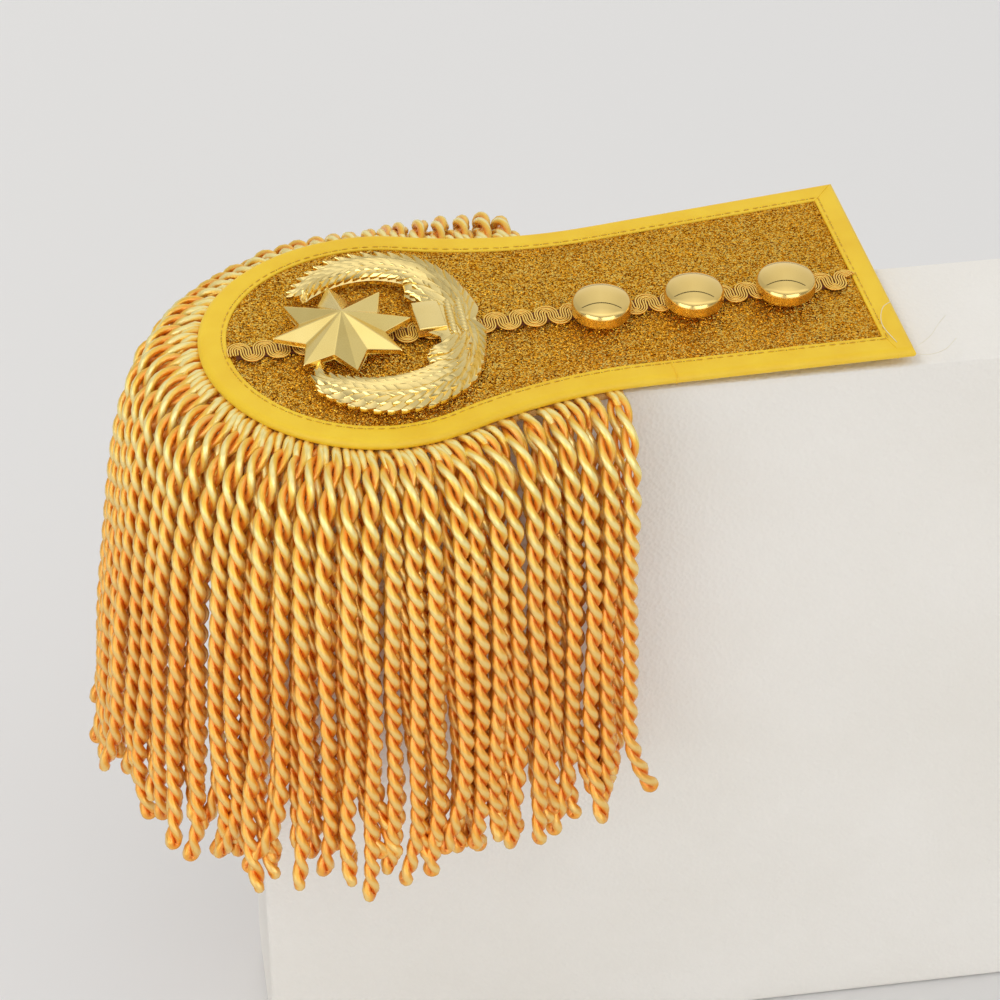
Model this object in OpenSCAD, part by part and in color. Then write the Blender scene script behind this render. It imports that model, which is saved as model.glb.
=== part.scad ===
// Bullion epaulette lying on a plain foam block, with its fringe hanging clear of the block.
// X runs along the strap, Y to the far side, Z up; the origin is the middle of the block's base.
// The board has its own frame: u from the head's tip along the strap, v across from its middle line.

/* [Display block] */
// Width of the block, along the strap
block_w = 230; // [190:5:300]
// Depth of the block, across the strap
block_d = 42; // [32:1:50]
// Height of the block
block_h = 230; // [180:5:300]
// Turn of the block under the board, in degrees
block_turn = -5; // [-6:1:6]
// How far the block's left corners may reach past the head's rim
corner_reach = 2.7; // [0:0.1:3]
// How far the board's middle line lies behind the block's
board_shift = 1.2; // [-4:0.2:4]

/* [Board] */
// Length of the whole board along its middle line, over its binding
board_l = 172.7; // [160:0.1:200]
// Angle by which the straight end is off square
end_turn = 1.2; // [0:0.1:2]
// Radius of the round head, over its binding
head_r = 43; // [40:0.5:48]
// How far the head's tip leans to the far side
head_skew = 2.5; // [0:0.25:4]
// Radius of the hollow curve from head to strap
neck_r = 120; // [90:5:150]
// Half of the angle at the head's middle where the neck curves begin
neck_angle = 70; // [66:1:74]
// Angle by which each side of the strap opens towards its end
strap_flare = 3.2; // [1:0.1:5]
// Thickness of the covered board
board_t = 2.4; // [2.2:0.1:3.6]

/* [Binding] */
// Width of the binding on each face
bind_w = 6.75; // [4:0.25:8]
// How far the head's tip reaches past the circle
tip_reach = 1.3; // [0:0.1:2]
// Thickness over the bound edge
bind_t = 3; // [2.8:0.1:5]
// Thickness of the tape itself
bind_wall = 1; // [0.8:0.05:1.1]

/* [Braid] */
// Width of the scroll braid
braid_w = 8; // [6:0.25:10]
// Thickness of the braid
braid_t = 1; // [0.6:0.1:1.6]
// Length of one scroll of the braid
braid_pitch = 6.5; // [5:0.25:9]
// Turn of the braid's line from the board's middle line, in degrees
braid_turn = -2.1; // [-3:0.1:3]
// How far the braid's line starts to the far side of the middle line
braid_shift = 0.35; // [-1:0.05:1]

/* [Wreath] */
// Half of the height of the wreath over its leaf tips, across the board
wreath_r = 33; // [26:0.5:34]
// Place of the wreath's middle along the board
wreath_u = 42.5; // [40:0.5:46]
// Thickness of the wreath's plate
wreath_plate_t = 0.9; // [0.8:0.1:1.5]
// Rise of the branches' rounded middle above the plate
branch_rise = 1.6; // [0.8:0.1:2.4]
// Rise of a leaf above its sides
leaf_rise = 0.7; // [0.4:0.1:1.2]
// Length of a leaf
leaf_l = 8; // [7:0.25:11]
// Width of a leaf
leaf_w = 2.5; // [2.2:0.1:4]
// Height of a leaf's side
leaf_edge_t = 0.4; // [0.2:0.05:0.6]
// How far the outer leaves reach past the plate
leaf_reach = 1.8; // [0.8:0.1:2.4]
// Leaf groups on each branch
leaf_groups = 17; // [10:1:18]
// Length of the tie along the board
tie_l = 7.5; // [6:0.5:9]
// Width of the tie across the board
tie_w = 11.6; // [8:0.2:13]
// Rise of the tie above the plate
tie_rise = 1.6; // [1:0.1:3]
// Slope of the tie's sides, measured across the slope
tie_slope = 0.8; // [0.4:0.1:1.5]
// How far the tie lies to the far side of the wreath's middle
tie_shift = 2.4; // [0:0.1:4]
// Length of the two stems behind the tie
stem_l = 14; // [10:0.5:18]
// Width of a stem
stem_w = 2.5; // [1.5:0.1:3]
// Distance from stem to stem
stem_gap = 2.8; // [2.6:0.1:3.5]
// Rise of a stem above the plate
stem_rise = 1.2; // [0.5:0.1:2]

/* [Star] */
// Radius of the star to its tips
star_r = 17.6; // [14:0.2:18]
// Radius of the star to its valleys
star_valley_r = 10.9; // [8:0.1:12]
// Place of the star's middle along the board
star_u = 34.4; // [33:0.2:38]
// Thickness of the star at its rim
star_rim_t = 1.3; // [0.8:0.1:2]
// Rise of the star's point above its rim
star_rise = 5.5; // [3:0.25:8]

/* [Buttons] */
// Diameter of a button
button_d = 15.1; // [12:0.1:16]
// Radius of the rolled edge at a button's foot
button_roll_r = 1.4; // [0.8:0.1:2.5]
// Height of a button's straight wall above its rolled foot
wall_h = 1.6; // [1:0.05:4]
// Rise of a button's dome above its wall
dome_rise = 3.5; // [3:0.1:6]
// Radius of the shoulder between the wall and the dome
shoulder_r = 2.1; // [1:0.1:2.6]
// Place of the first button along the board
button_u = 99.3; // [90:0.5:104]
// Distance from button to button
button_gap = 23.8; // [18:0.2:26]
// How far the buttons lie to the near side of the braid's middle
button_drop = 2.7; // [0:0.1:4]

/* [Posts] */
// Diameter of the posts that hold the metal pieces
post_d = 1.8; // [1.2:0.1:2.4]
// Clearance round a post
post_gap = 0.25; // [0.2:0.05:0.5]

/* [Fringe] */
// Length of the longest cords from the rim to their looped ends
fringe_l = 146; // [110:1:165]
// How far the cords spring out past the rim
fringe_spring = 18; // [14:0.5:22]
// How much further the cords lean out at the head's tip
fringe_lean = 10; // [0:0.5:20]
// Thickness of the hanging cords, two layers deep
fringe_t = 8; // [6:0.25:9]
// Locks that the cords fall into
fringe_locks = 46; // [36:1:54]
// Place along the board where the fringe ends, on the near side
fringe_end_near = 98; // [80:1:98]
// Place along the board where the fringe ends, on the far side
fringe_end_far = 88; // [80:1:98]
// Width of the heading under the board
heading_w = 8; // [5:0.5:10]
// Thickness of the heading
heading_t = 2; // [1.5:0.1:3]
// Room between the cords and the block's corners, over which the cords run level
cord_clear = 0.9; // [0.5:0.1:1.5]

/* [Fits] */
// Gap between soft pieces that lie on each other
soft_gap = 0.2; // [0.1:0.05:0.3]
// Gap between metal pieces and what they sit on
metal_gap = 0.1; // [0.1:0.05:0.3]

/* [Hidden] */
small = 0.01;

// Heights in the board's frame, from the binding's underside
board_z = (bind_t - board_t) / 2;
board_top = board_z + board_t;
braid_top = board_top + soft_gap + braid_t;
badge_z = braid_top + metal_gap;
star_z = badge_z + wreath_plate_t + metal_gap;
lift = heading_t + 2 * soft_gap;

// The middle of the block's left face lies where neither of its corners passes the corner reach
left_corners = [for (side = [-1, 1])
    side * block_d / 2 * [-sin(block_turn), cos(block_turn)] - [0, board_shift]];
left_u = head_r + max([for (c = left_corners)
    -sqrt(pow(head_r + corner_reach, 2) - pow(c.y, 2)) - c.x]);

// Place of the board's frame in the model
board_at = [-block_w / 2 * cos(block_turn) - left_u,
            -block_w / 2 * sin(block_turn) + board_shift,
            block_h + lift];

// Middle of the neck curves, which meet the head at the neck angle
neck_mid = (head_r + neck_r) * [cos(neck_angle), sin(neck_angle)] + [head_r, 0];
neck_turn = 90 - neck_angle;
arc_step = 6;
neck_steps = 6;

// The head's tip leans to the far side and reaches a little past the circle
function skewed(p) =
    let (tip = pow(max(0, (head_r - p.x) / head_r), 2))
    [p.x - tip * tip_reach, p.y + tip * head_skew];

// A point of the neck curve at an angle from its deepest place, inset from the rim
function neck_point(angle, inset, side) =
    [neck_mid.x + (neck_r + inset) * sin(angle),
     side * (neck_mid.y - (neck_r + inset) * cos(angle))];

// A point of the round head at an angle, inset from the rim
function head_point(angle, inset) =
    [head_r + (head_r - inset) * cos(angle), (head_r - inset) * sin(angle)];

// The strap's corner: its flared side runs on from the neck curve to the straight end
function strap_corner(inset, side) =
    let (start = neck_point(strap_flare, inset, 1),
         half = start.y + (board_l - start.x) * tan(strap_flare),
         end_u = board_l - inset + side * half * tan(end_turn))
    [end_u, side * (start.y + (end_u - start.x) * tan(strap_flare))];

// The whole outline of the board, inset from its rim, from the near corner round to the far one
function outline(inset) = [for (p = concat(
    [strap_corner(inset, -1)],
    [for (i = [0 : neck_steps])
        neck_point(strap_flare - (strap_flare + neck_turn) * i / neck_steps, inset, -1)],
    [for (a = [360 - neck_angle - arc_step : -arc_step : neck_angle + arc_step - small])
        head_point(a, inset)],
    [for (i = [0 : neck_steps])
        neck_point(-neck_turn + (strap_flare + neck_turn) * i / neck_steps, inset, 1)],
    [strap_corner(inset, 1)])) skewed(p)];

// Faces of a tube of closed rings; each ring has n points and the next one starts n points on
function ring_faces(rings, n, closed) = [for (i = [0 : rings - (closed ? 1 : 2)])
    for (j = [0 : n - 1])
        let (a = i * n, b = (i + 1) % rings * n, k = (j + 1) % n)
        each [[a + j, a + k, b + k], [a + j, b + k, b + j]]];

// Places of the posts: one under the star, two under the wreath and one under each button
braid_v = function (u) braid_shift + tan(braid_turn) * u;
button_at = [for (i = [0 : 2])
    let (u = button_u + i * button_gap) [u, braid_v(u) - button_drop]];
star_at = [star_u, 0.4];
wreath_at = [wreath_u, -1.5];
wreath_post_angle = 75;
wreath_posts = [for (side = [-1, 1]) wreath_at
    + 0.82 * wreath_r * [cos(wreath_post_angle), side * sin(wreath_post_angle)]];
post_places = concat([star_at], wreath_posts, button_at);

// Columns: angle from the tie, reach of the leaf tips, inner edge of the far branch and inner edge
// of the near branch as shares of wreath_r, rise as a share of branch_rise
wreath_shape = [[0, 0.83, 0.31, 0.31, 0.0], [12, 0.83, 0.36, 0.36, 0.2], [20, 0.84, 0.49, 0.49, 0.4],
    [32, 0.87, 0.53, 0.53, 0.8], [42, 0.91, 0.47, 0.47, 0.9], [52, 0.95, 0.49, 0.50, 1.0],
    [60, 0.98, 0.63, 0.60, 1.0], [80, 1.00, 0.65, 0.59, 1.0], [100, 0.98, 0.65, 0.59, 1.0],
    [118, 0.91, 0.65, 0.60, 1.0], [132, 0.84, 0.66, 0.62, 0.7]];
wreath_outer = [for (row = wreath_shape) [row[0], row[1] * wreath_r]];
wreath_far = [for (row = wreath_shape) [row[0], row[2] * wreath_r]];
wreath_near = [for (row = wreath_shape) [row[0], row[3] * wreath_r]];
wreath_rise = [for (row = wreath_shape) [row[0], row[4] * branch_rise]];
wreath_end = wreath_shape[len(wreath_shape) - 1][0];
leaf_start = 12;
leaf_end = wreath_end + 5;

// Profile across a branch. Columns: place from the inner edge to the outer one, share of the rise
branch_profile = [[0.04, 0.25], [0.2, 0.75], [0.45, 1.00], [0.72, 0.75], [0.97, 0.1]];

// Rows of leaves. Columns: place of the tips from the inner edge to the outer one, turn outwards
// from the branch's own direction, step along the branch as a share of one group
leaf_rows = [[1.00, 27, 0], [0.78, 18, 0.5], [0.52, 6, 0], [0.24, -10, 0.5]];
// Where the rows of the inner half begin, clear of the tie
inner_start = 34;

// The fringe's path from its heading outwards and down.
// Columns: spring out as a share of fringe_spring, drop as a share of fringe_l, thickness as a
// share of fringe_t, and lean as a share of fringe_lean
fringe_path = [[0.38, 0.008, 0.55, 0.00], [0.64, 0.040, 0.80, -0.04], [0.81, 0.105, 0.95, -0.05],
    [0.91, 0.23, 1.00, 0.11], [0.97, 0.46, 1.00, 0.46], [1.00, 0.74, 1.00, 0.80],
    [1.00, 0.93, 0.70, 1.00]];

// How the cords differ round the rim. Columns: place along the rim from its near end to its far
// end, share of the spring, share of the length
fringe_run = [[0, 0.80, 0.91], [0.06, 0.85, 0.98], [0.17, 0.90, 1.00], [0.25, 0.94, 0.99],
    [0.34, 0.98, 0.94], [0.46, 1.00, 0.88], [0.56, 1.00, 0.88], [0.68, 0.72, 0.92],
    [0.83, 0.80, 0.95], [0.89, 1.35, 0.95], [0.96, 1.60, 0.94], [1, 1.25, 0.92]];
spring_share = [for (row = fringe_run) [row[0], row[1]]];
length_share = [for (row = fringe_run) [row[0], row[2]]];

// The rim that the fringe follows, as three arcs from the near neck round the head to the far neck
near_sweep = neck_turn - asin((neck_mid.x - fringe_end_near) / neck_r);
far_sweep = neck_turn - asin((neck_mid.x - fringe_end_far) / neck_r);
head_sweep = 360 - 2 * neck_angle;
near_len = near_sweep * neck_r;
head_len = head_sweep * head_r;
rim_len = near_len + head_len + far_sweep * neck_r;

// Place and outward direction of the rim at a share of its length
function rim_at(share) =
    let (s = share * rim_len)
    s < near_len ?
        let (a = -neck_turn + near_sweep - s / neck_r)
        [neck_point(a, 0, -1), [-sin(a), -cos(a)]]
    : s < near_len + head_len ?
        let (a = 360 - neck_angle - (s - near_len) / head_r)
        [head_point(a, 0), [cos(a), sin(a)]]
    :
        let (a = -neck_turn + (s - near_len - head_len) / neck_r)
        [neck_point(a, 0, 1), [-sin(a), cos(a)]];

// A lock's own length as a share of the full length, uneven from lock to lock
lock_spread = 0.04;
function lock_length(lock) = 1 - lock_spread * (1 - sin(lock * 137) * cos(lock * 71));

// Length and thickness of the fringe in the valleys between its locks, as shares
valley_length = 0.94;
valley_t = 0.7;

// One upright section of the fringe: outer side down, tip, inner side up, all at one place of the rim
function fringe_section(station) =
    let (lock = floor(station / 3), crest = station % 3 == 0 ? 0 : 1,
         share = station / (3 * fringe_locks), rim = rim_at(share),
         full = lookup(share, spring_share), tip_side = max(0, -rim[1].x),
         length = fringe_l * lookup(share, length_share) * lock_length(lock)
             * (crest == 1 ? 1 : valley_length),
         swell = crest == 1 ? 0.5 : 0.5 * valley_t,
         path = [for (row = fringe_path)
             [row[0] * fringe_spring * full + row[3] * fringe_lean * tip_side,
              -soft_gap - heading_t / 2 - row[1] * length]],
         last = len(path) - 1,
         ways = [for (i = [0 : last])
             let (d = path[min(i + 1, last)] - path[max(i - 1, 0)]) [-d.y, d.x] / norm(d)],
         half = [for (row = fringe_path) row[2] * fringe_t * swell],
         outer = [for (i = [0 : last]) path[i] + ways[i] * half[i]],
         inner = [for (i = [last : -1 : 0]) path[i] - ways[i] * half[i]],
         level = corner_reach + cord_clear, low = -soft_gap - heading_t,
         section = concat([[-heading_w, -soft_gap], [level, -soft_gap]], outer,
             [path[last] + [0, -0.6 * half[last]]], inner,
             [[level, low], [-heading_w, low]]))
    [for (q = section) let (p = skewed(rim[0] + rim[1] * q.x)) [p.x, p.y, q.y]];

// Puts a piece from the board's frame into the model
module on_board() {
    translate(board_at) children();
}

// Round holes through everything at the posts' places
module post_holes() {
    for (p = post_places) {
        translate([p.x, p.y, -bind_t]) cylinder(h = 4 * bind_t, d = post_d + 2 * post_gap, $fn = 32);
    }
}

// A post from a metal piece's underside down to the board's underside
module post(at, from_z) {
    translate([at.x, at.y, board_z]) cylinder(h = from_z - board_z + small, d = post_d, $fn = 32);
}

module display_block() {
    color("#f2f0ee")
        rotate([0, 0, block_turn])
            translate([-block_w / 2, -block_d / 2, 0]) cube([block_w, block_d, block_h]);
}

// Stiff board covered in glitter cloth, with a thinner edge that the binding grips
module board() {
    tongue_t = bind_t - 2 * (bind_wall + soft_gap);
    color("#9c6f22")
        on_board()
            difference() {
                union() {
                    translate([0, 0, board_z])
                        linear_extrude(board_t) polygon(outline(bind_w + soft_gap));
                    translate([0, 0, (bind_t - tongue_t) / 2])
                        linear_extrude(tongue_t) polygon(outline(bind_wall + soft_gap));
                }
                post_holes();
            }
}

// Satin tape folded over the board's edge, rounded where it turns
module binding() {
    r = bind_t / 2;
    section = concat(
        [for (a = [90 : -30 : -90]) [r - r * cos(a), r + r * sin(a)]],
        [[bind_w, 0], [bind_w, bind_wall], [bind_wall, bind_wall],
         [bind_wall, bind_t - bind_wall], [bind_w, bind_t - bind_wall], [bind_w, bind_t]]);
    rings = [for (q = section) [for (p = outline(q[0])) [p.x, p.y, q[1]]]];
    points = [for (ring = rings) each ring];
    color("#f3cd2e")
        on_board()
            polyhedron(points, [for (f = ring_faces(len(rings), len(rings[0]), true)) [f[2], f[1], f[0]]]);
}

// Place along the board of the binding's inner edge at the head's tip, a distance from the middle line
function inner_edge(away) =
    let (r = head_r - bind_w)
    skewed([head_r - sqrt(r * r - pow(away + head_skew, 2)), 0]).x;

// Scroll braid along the middle, with waved edges
module braid() {
    start = inner_edge(braid_w / 2) + soft_gap + braid_w / 2 * abs(sin(braid_turn));
    end = board_l - bind_w - soft_gap - braid_w / 2 * abs(sin(braid_turn));
    steps = round((end - start) / braid_pitch) * 4;
    function edge(i, side) =
        [start + (end - start) * i / steps,
         side * braid_w / 2 * (0.86 + 0.14 * cos(90 * i + 90 * side))];
    shape = concat([for (i = [0 : steps]) edge(i, -1)], [for (i = [steps : -1 : 0]) edge(i, 1)]);
    color("#d9902c")
        on_board()
            difference() {
                translate([0, braid_shift, board_top + soft_gap])
                    linear_extrude(braid_t) rotate(braid_turn) polygon(shape);
                post_holes();
            }
}

// One leaf with its tip at the origin and its root along -X: five sides under one high point
module leaf() {
    sides = [[0, 0], [-0.45 * leaf_l, 0.5 * leaf_w], [-leaf_l, 0.15 * leaf_w],
        [-leaf_l, -0.15 * leaf_w], [-0.45 * leaf_l, -0.5 * leaf_w]];
    n = len(sides);
    points = concat([for (p = sides) [p.x, p.y, 0]], [for (p = sides) [p.x, p.y, leaf_edge_t]],
        [[-0.45 * leaf_l, 0, leaf_edge_t + leaf_rise]]);
    polyhedron(points, concat([[for (i = [0 : n - 1]) i]],
        [for (i = [0 : n - 1])
            let (k = (i + 1) % n)
            each [[k, i, n + i], [k, n + i, n + k], [n + k, n + i, 2 * n]]]));
}

// A point of a branch by its angle, its place across from the inner edge to the outer one, inset
// by the leaves' reach or not, and its height
function branch_point(a, inner, inset, place, z) =
    let (in = lookup(a, inner), r = in + (lookup(a, wreath_outer) - inset - in) * place)
    [r * cos(a), r * sin(a), z];

// One branch on the far side of the tie: a rounded body under four rows of overlapping leaves
module branch(inner) {
    step = 6;
    angles = [for (a = [0 : step : wreath_end]) a];
    sunk = [for (i = [len(branch_profile) - 1, 0]) [branch_profile[i][0], -wreath_plate_t / 2]];
    rings = [for (a = angles) concat(
        [for (p = sunk) branch_point(a, inner, leaf_reach, p[0], wreath_plate_t + p[1])],
        [for (row = branch_profile) branch_point(a, inner, leaf_reach, row[0],
            wreath_plate_t + row[1] * lookup(a, wreath_rise))])];
    n = len(rings[0]);
    polyhedron([for (ring = rings) each ring],
        concat([for (f = ring_faces(len(rings), n, false)) [f[2], f[1], f[0]]],
            [[for (j = [0 : n - 1]) j], [for (j = [n - 1 : -1 : 0]) (len(rings) - 1) * n + j]]));
    group_step = (leaf_end - leaf_start) / leaf_groups;
    for (i = [0 : leaf_groups - 1]) {
        for (row = leaf_rows) {
            a = leaf_start + (i + 1 - row[2]) * group_step;
            height = lookup(row[0], branch_profile) * lookup(a, wreath_rise);
            if (row[0] > 0.6 || a > inner_start) {
                translate(branch_point(a, inner, 0, row[0], wreath_plate_t + height - leaf_edge_t / 2))
                    rotate(a + 90 - row[1]) leaf();
            }
        }
    }
}

// A block with sloped sides, by its length, width and height
module sloped_block(length, width, height, slope) {
    hull() {
        translate([-length / 2, -width / 2, 0]) cube([length, width, small]);
        translate([slope - length / 2, slope - width / 2, 0])
            cube([length - 2 * slope, width - 2 * slope, height]);
    }
}

// Open wreath of two leafy branches with a plain tie and two stems, cut clear of the star's rim
module wreath() {
    angles = [for (row = wreath_shape) row[0]];
    rim = function (table, a, side, inset) (lookup(a, table) - inset) * [cos(a), side * sin(a)];
    shape = concat(
        [for (i = [len(angles) - 1 : -1 : 1]) rim(wreath_outer, angles[i], -1, leaf_reach)],
        [for (a = angles) rim(wreath_outer, a, 1, leaf_reach)],
        [for (i = [len(angles) - 1 : -1 : 1]) rim(wreath_far, angles[i], 1, 0)],
        [for (a = angles) rim(wreath_near, a, -1, 0)]);
    tie_u = wreath_far[0][1] + tie_l / 2;
    stem_u = tie_u + (tie_l + stem_gap) / 2;
    stem_turn = -4;
    color("#d8bd62")
        on_board() {
            difference() {
                translate([wreath_at.x, wreath_at.y, badge_z]) {
                    linear_extrude(wreath_plate_t) polygon(shape);
                    branch(wreath_far);
                    mirror([0, 1, 0]) branch(wreath_near);
                    translate([tie_u, tie_shift, 0])
                        sloped_block(tie_l, tie_w, wreath_plate_t + tie_rise, tie_slope);
                    for (i = [0, 1]) {
                        translate([stem_u + i * stem_gap, tie_shift / 3, 0])
                            rotate(stem_turn)
                                sloped_block(stem_w, stem_l, wreath_plate_t + stem_rise, stem_w / 4);
                    }
                }
                translate([star_at.x, star_at.y, star_z - metal_gap])
                    linear_extrude(2 * star_rise) offset(delta = 2 * metal_gap) polygon(star_shape());
            }
            for (p = wreath_posts) post(p, badge_z);
        }
}

// Outline of the star, tips and valleys in turn, with one tip along the board
function star_shape() = [for (i = [0 : 15])
    (i % 2 == 0 ? star_r : star_valley_r) * [cos(i * 22.5 + 1), sin(i * 22.5 + 1)]];

// Eight-pointed faceted star
module star() {
    rim = star_shape();
    n = len(rim);
    points = concat([for (p = rim) [p.x, p.y, 0]], [for (p = rim) [p.x, p.y, star_rim_t]],
        [[0, 0, 0], [0, 0, star_rim_t + star_rise]]);
    faces = [for (i = [0 : n - 1])
        let (k = (i + 1) % n)
        each [[i, k, 2 * n], [k, i, n + i], [k, n + i, n + k], [n + k, n + i, 2 * n + 1]]];
    color("#e2c873")
        on_board() {
            translate([star_at.x, star_at.y, star_z]) polyhedron(points, faces);
            post(star_at, star_z);
        }
}

// Half of a button's section: a ball's cap, a rounder shoulder, a wall and a rolled foot. The cap is a
// little smaller than one that just touches the shoulder, so that the two circles cross
module button_section() {
    r = button_d / 2;
    shoulder_x = r - shoulder_r;
    cap_r = 0.985 * (pow(shoulder_x, 2) + pow(dome_rise, 2) - pow(shoulder_r, 2))
        / (2 * (dome_rise - shoulder_r));
    cap_drop = cap_r - dome_rise;
    meet_x = shoulder_x + shoulder_r * shoulder_x / norm([shoulder_x, cap_drop]);
    wall_top = button_roll_r + wall_h;
    union() {
        intersection() {
            translate([0, wall_top - cap_drop]) circle(cap_r, $fn = 96);
            translate([0, wall_top]) square([meet_x, 2 * dome_rise]);
        }
        intersection() {
            translate([shoulder_x, wall_top]) circle(shoulder_r, $fn = 64);
            translate([0, wall_top]) square(button_d);
        }
        translate([0, button_roll_r]) square([r, wall_h]);
        square([r - button_roll_r, button_roll_r]);
        intersection() {
            translate([r - button_roll_r, button_roll_r]) circle(button_roll_r, $fn = 32);
            square([button_d, button_roll_r]);
        }
    }
}

// Domed button on its shank
module button(i) {
    color("#e6c65a")
        on_board() {
            translate([button_at[i].x, button_at[i].y, badge_z])
                rotate_extrude($fn = 64) button_section();
            post(button_at[i], badge_z);
        }
}

// Bullion fringe: a heading under the rim and locks that spring out and hang, all one body
module fringe() {
    stations = 3 * fringe_locks;
    sections = [for (s = [0 : stations]) fringe_section(s)];
    n = len(sections[0]);
    points = [for (section = sections) each section];
    faces = concat(ring_faces(stations + 1, n, false),
        [[for (j = [n - 1 : -1 : 0]) j], [for (j = [0 : n - 1]) stations * n + j]]);
    color("#e9a84a")
        on_board() polyhedron(points, faces);
}

display_block();
board();
binding();
braid();
wreath();
star();
button(0);  // button_1
button(1);  // button_2
button(2);  // button_3
fringe();
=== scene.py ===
# Looks of a bullion epaulette on its display block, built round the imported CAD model.
# Lengths are in millimetres and angles in degrees until a mesh is made, which is in metres.
# The board has its own frame: u from the head's tip along the strap, v across, w up from its underside.
import math

import bmesh
import bpy
import numpy as np
from mathutils import Matrix, Vector


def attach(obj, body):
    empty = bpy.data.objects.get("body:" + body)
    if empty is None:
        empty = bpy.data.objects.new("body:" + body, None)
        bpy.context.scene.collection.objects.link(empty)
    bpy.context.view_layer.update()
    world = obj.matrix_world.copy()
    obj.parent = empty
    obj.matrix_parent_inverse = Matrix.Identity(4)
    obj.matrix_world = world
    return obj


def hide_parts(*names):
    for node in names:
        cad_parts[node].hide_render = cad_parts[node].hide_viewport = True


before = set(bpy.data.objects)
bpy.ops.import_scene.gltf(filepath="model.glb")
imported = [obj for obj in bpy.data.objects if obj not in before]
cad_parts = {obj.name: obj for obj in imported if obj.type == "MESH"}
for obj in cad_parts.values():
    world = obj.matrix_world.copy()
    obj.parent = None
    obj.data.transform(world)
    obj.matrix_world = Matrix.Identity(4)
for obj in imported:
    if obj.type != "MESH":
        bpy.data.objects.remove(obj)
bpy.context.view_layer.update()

MM = 0.001
SEED = 11

# What soft pieces and metal ones keep from what they lie on
SOFT_GAP = 0.2
METAL_GAP = 0.1

# Display block
BLOCK = np.array([230.0, 42.0, 230.0])
BLOCK_TURN = -5.0
BLOCK_ROUND = 1.6
BLOCK_STEP = 7.0
BLOCK_UNEVEN = 0.12

# Board
BOARD_AT = np.array([-119.4, 11.2, 232.4])
BOARD_L = 172.7
END_TURN = 1.2
HEAD_R = 43.0
HEAD_SKEW = 2.5
NECK_R = 120.0
NECK_ANGLE = 70.0
NECK_TURN = 90.0 - NECK_ANGLE
STRAP_FLARE = 3.2
BOARD_Z = 0.3
BOARD_TOP = 2.7
CLOTH_ROUND = 0.25
CLOTH_INSET = 0.05
LINING_ROUND = 0.4

# Binding
BIND_W = 6.75
TIP_REACH = 1.3
BIND_T = 3.0
BIND_WALL = 1.0
STITCH_INSET = 5.6
STITCH_PITCH = 2.6
STITCH_L = 1.7
STITCH_R = 0.13
STITCH_SINK = 0.1
NEEDLE_HOLE = (0.2, 0.13)
HOLE_SINK = 0.2
HOLE_T = 0.04
SEAM_U = 111.0
SEAM_R = 0.13
SEAM_PROUD = 0.05
LOOSE_R = 0.09
GROOVE_W = 0.45
GROOVE_DEPTH = 0.09
PINCH_DEPTH = 0.11
TAPE_UNEVEN = 0.035
TAPE_SINK = 0.03

# Braid
BRAID_START = 6.7
BRAID_Z = 2.9
BRAID_T = 1.0
BRAID_PITCH = 6.5
BRAID_TURN = -2.1
BRAID_SHIFT = 0.35
BRAID_LEG = 1.9
BRAID_CORDS = 5
BRAID_CORD_GAP = 0.62
BRAID_CORD_R = 0.23
BRAID_BASE_T = 0.3
BRAID_BASE_SPAN = (-2.2, 3.3)
BRAID_BASE_SWING = 1.1
BRAID_BASE_STEP = 0.4
BRAID_END_GAP = 0.5
BRAID_UNEVEN = 0.05
BRAID_CORD_STEP = 0.02

# Wreath
WREATH_R = 33.0
WREATH_AT = np.array([42.5, -1.5])
BADGE_Z = 4.0
PLATE_T = 0.9
BRANCH_RISE = 1.6
LEAF_REACH = 1.8
LEAF_L = 7.6
LEAF_W = 2.15
LEAF_RISE = 0.9
LEAF_CURL = 10.0
LEAF_SINK = 0.25
LEAF_LIFT = 0.75
LEAF_FLOOR = 0.25
LEAF_SKIRT = 0.5
LEAF_GROUPS = 21
LEAF_START = 12.0
INNER_START = 34.0
TIE_L = 7.5
TIE_W = 11.6
TIE_RISE = 1.6
TIE_SLOPE = 0.32
TIE_SHIFT = 2.4
STEM_L = 14.0
STEM_GAP = 2.8
STEM_TURN = -4.0
STEM_PLIES = 3
STEM_LAY = 4.2
STEM_PLY_R = 0.62
STEM_MID = 0.65
STEM_TWIST = (0.52, 0.5)

# Star
STAR_POINTS = 8
STAR_HALF = 180 / STAR_POINTS
STAR_CLEAR = 0.25
PRESS_SLOPE = 3.0
STAR_R = 17.6
STAR_VALLEY_R = 10.9
STAR_AT = np.array([34.4, 0.4])
STAR_Z = 5.0
STAR_RIM_T = 1.3
STAR_RISE = 5.5
STAR_TURN = 1.0
STAR_BEVEL = 0.2

# Buttons and posts
BUTTON_R = 7.55
BUTTON_ROLL_R = 1.4
WALL_H = 1.6
DOME_RISE = 3.5
SHOULDER_R = 2.1
BUTTON_U = 99.3
BUTTON_GAP = 23.8
BUTTON_DROP = 2.7
POST_R = 0.9
WREATH_POST_ANGLE = 75.0
WREATH_POST_SHARE = 0.82

# Fringe
FRINGE_L = 146.0
FRINGE_SPRING = 18.0
FRINGE_LEAN = 10.0
FRINGE_T = 8.0
FRINGE_END_NEAR = 98.0
FRINGE_END_FAR = 88.0
HEADING_MID = -1.2
HEADING_ACROSS = (-8.0, -0.6)
HEADING_UP = (-2.15, -0.25)
HEADING_ROUND = (0.4, 0.35)
CORD_R = 2.15
PLY_R = 1.14
PLY_FLAT = 1.1
CORD_SPACING = 5.4
PIECE_CORDS = 36
RING_GAP = 1.45
PLY_SIDES = 9

# How a hanging cord wanders, along the rim and outwards: in waves, at its end, and in its bent tail
SWAY = 1.9
SWING = 0.8
END_SWAY = 1.4
END_SWING = 1.0
TAIL_SWAY = 2.1
TAIL_SWING = (-1.0, 2.4)
TAIL_L = 22.0

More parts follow.
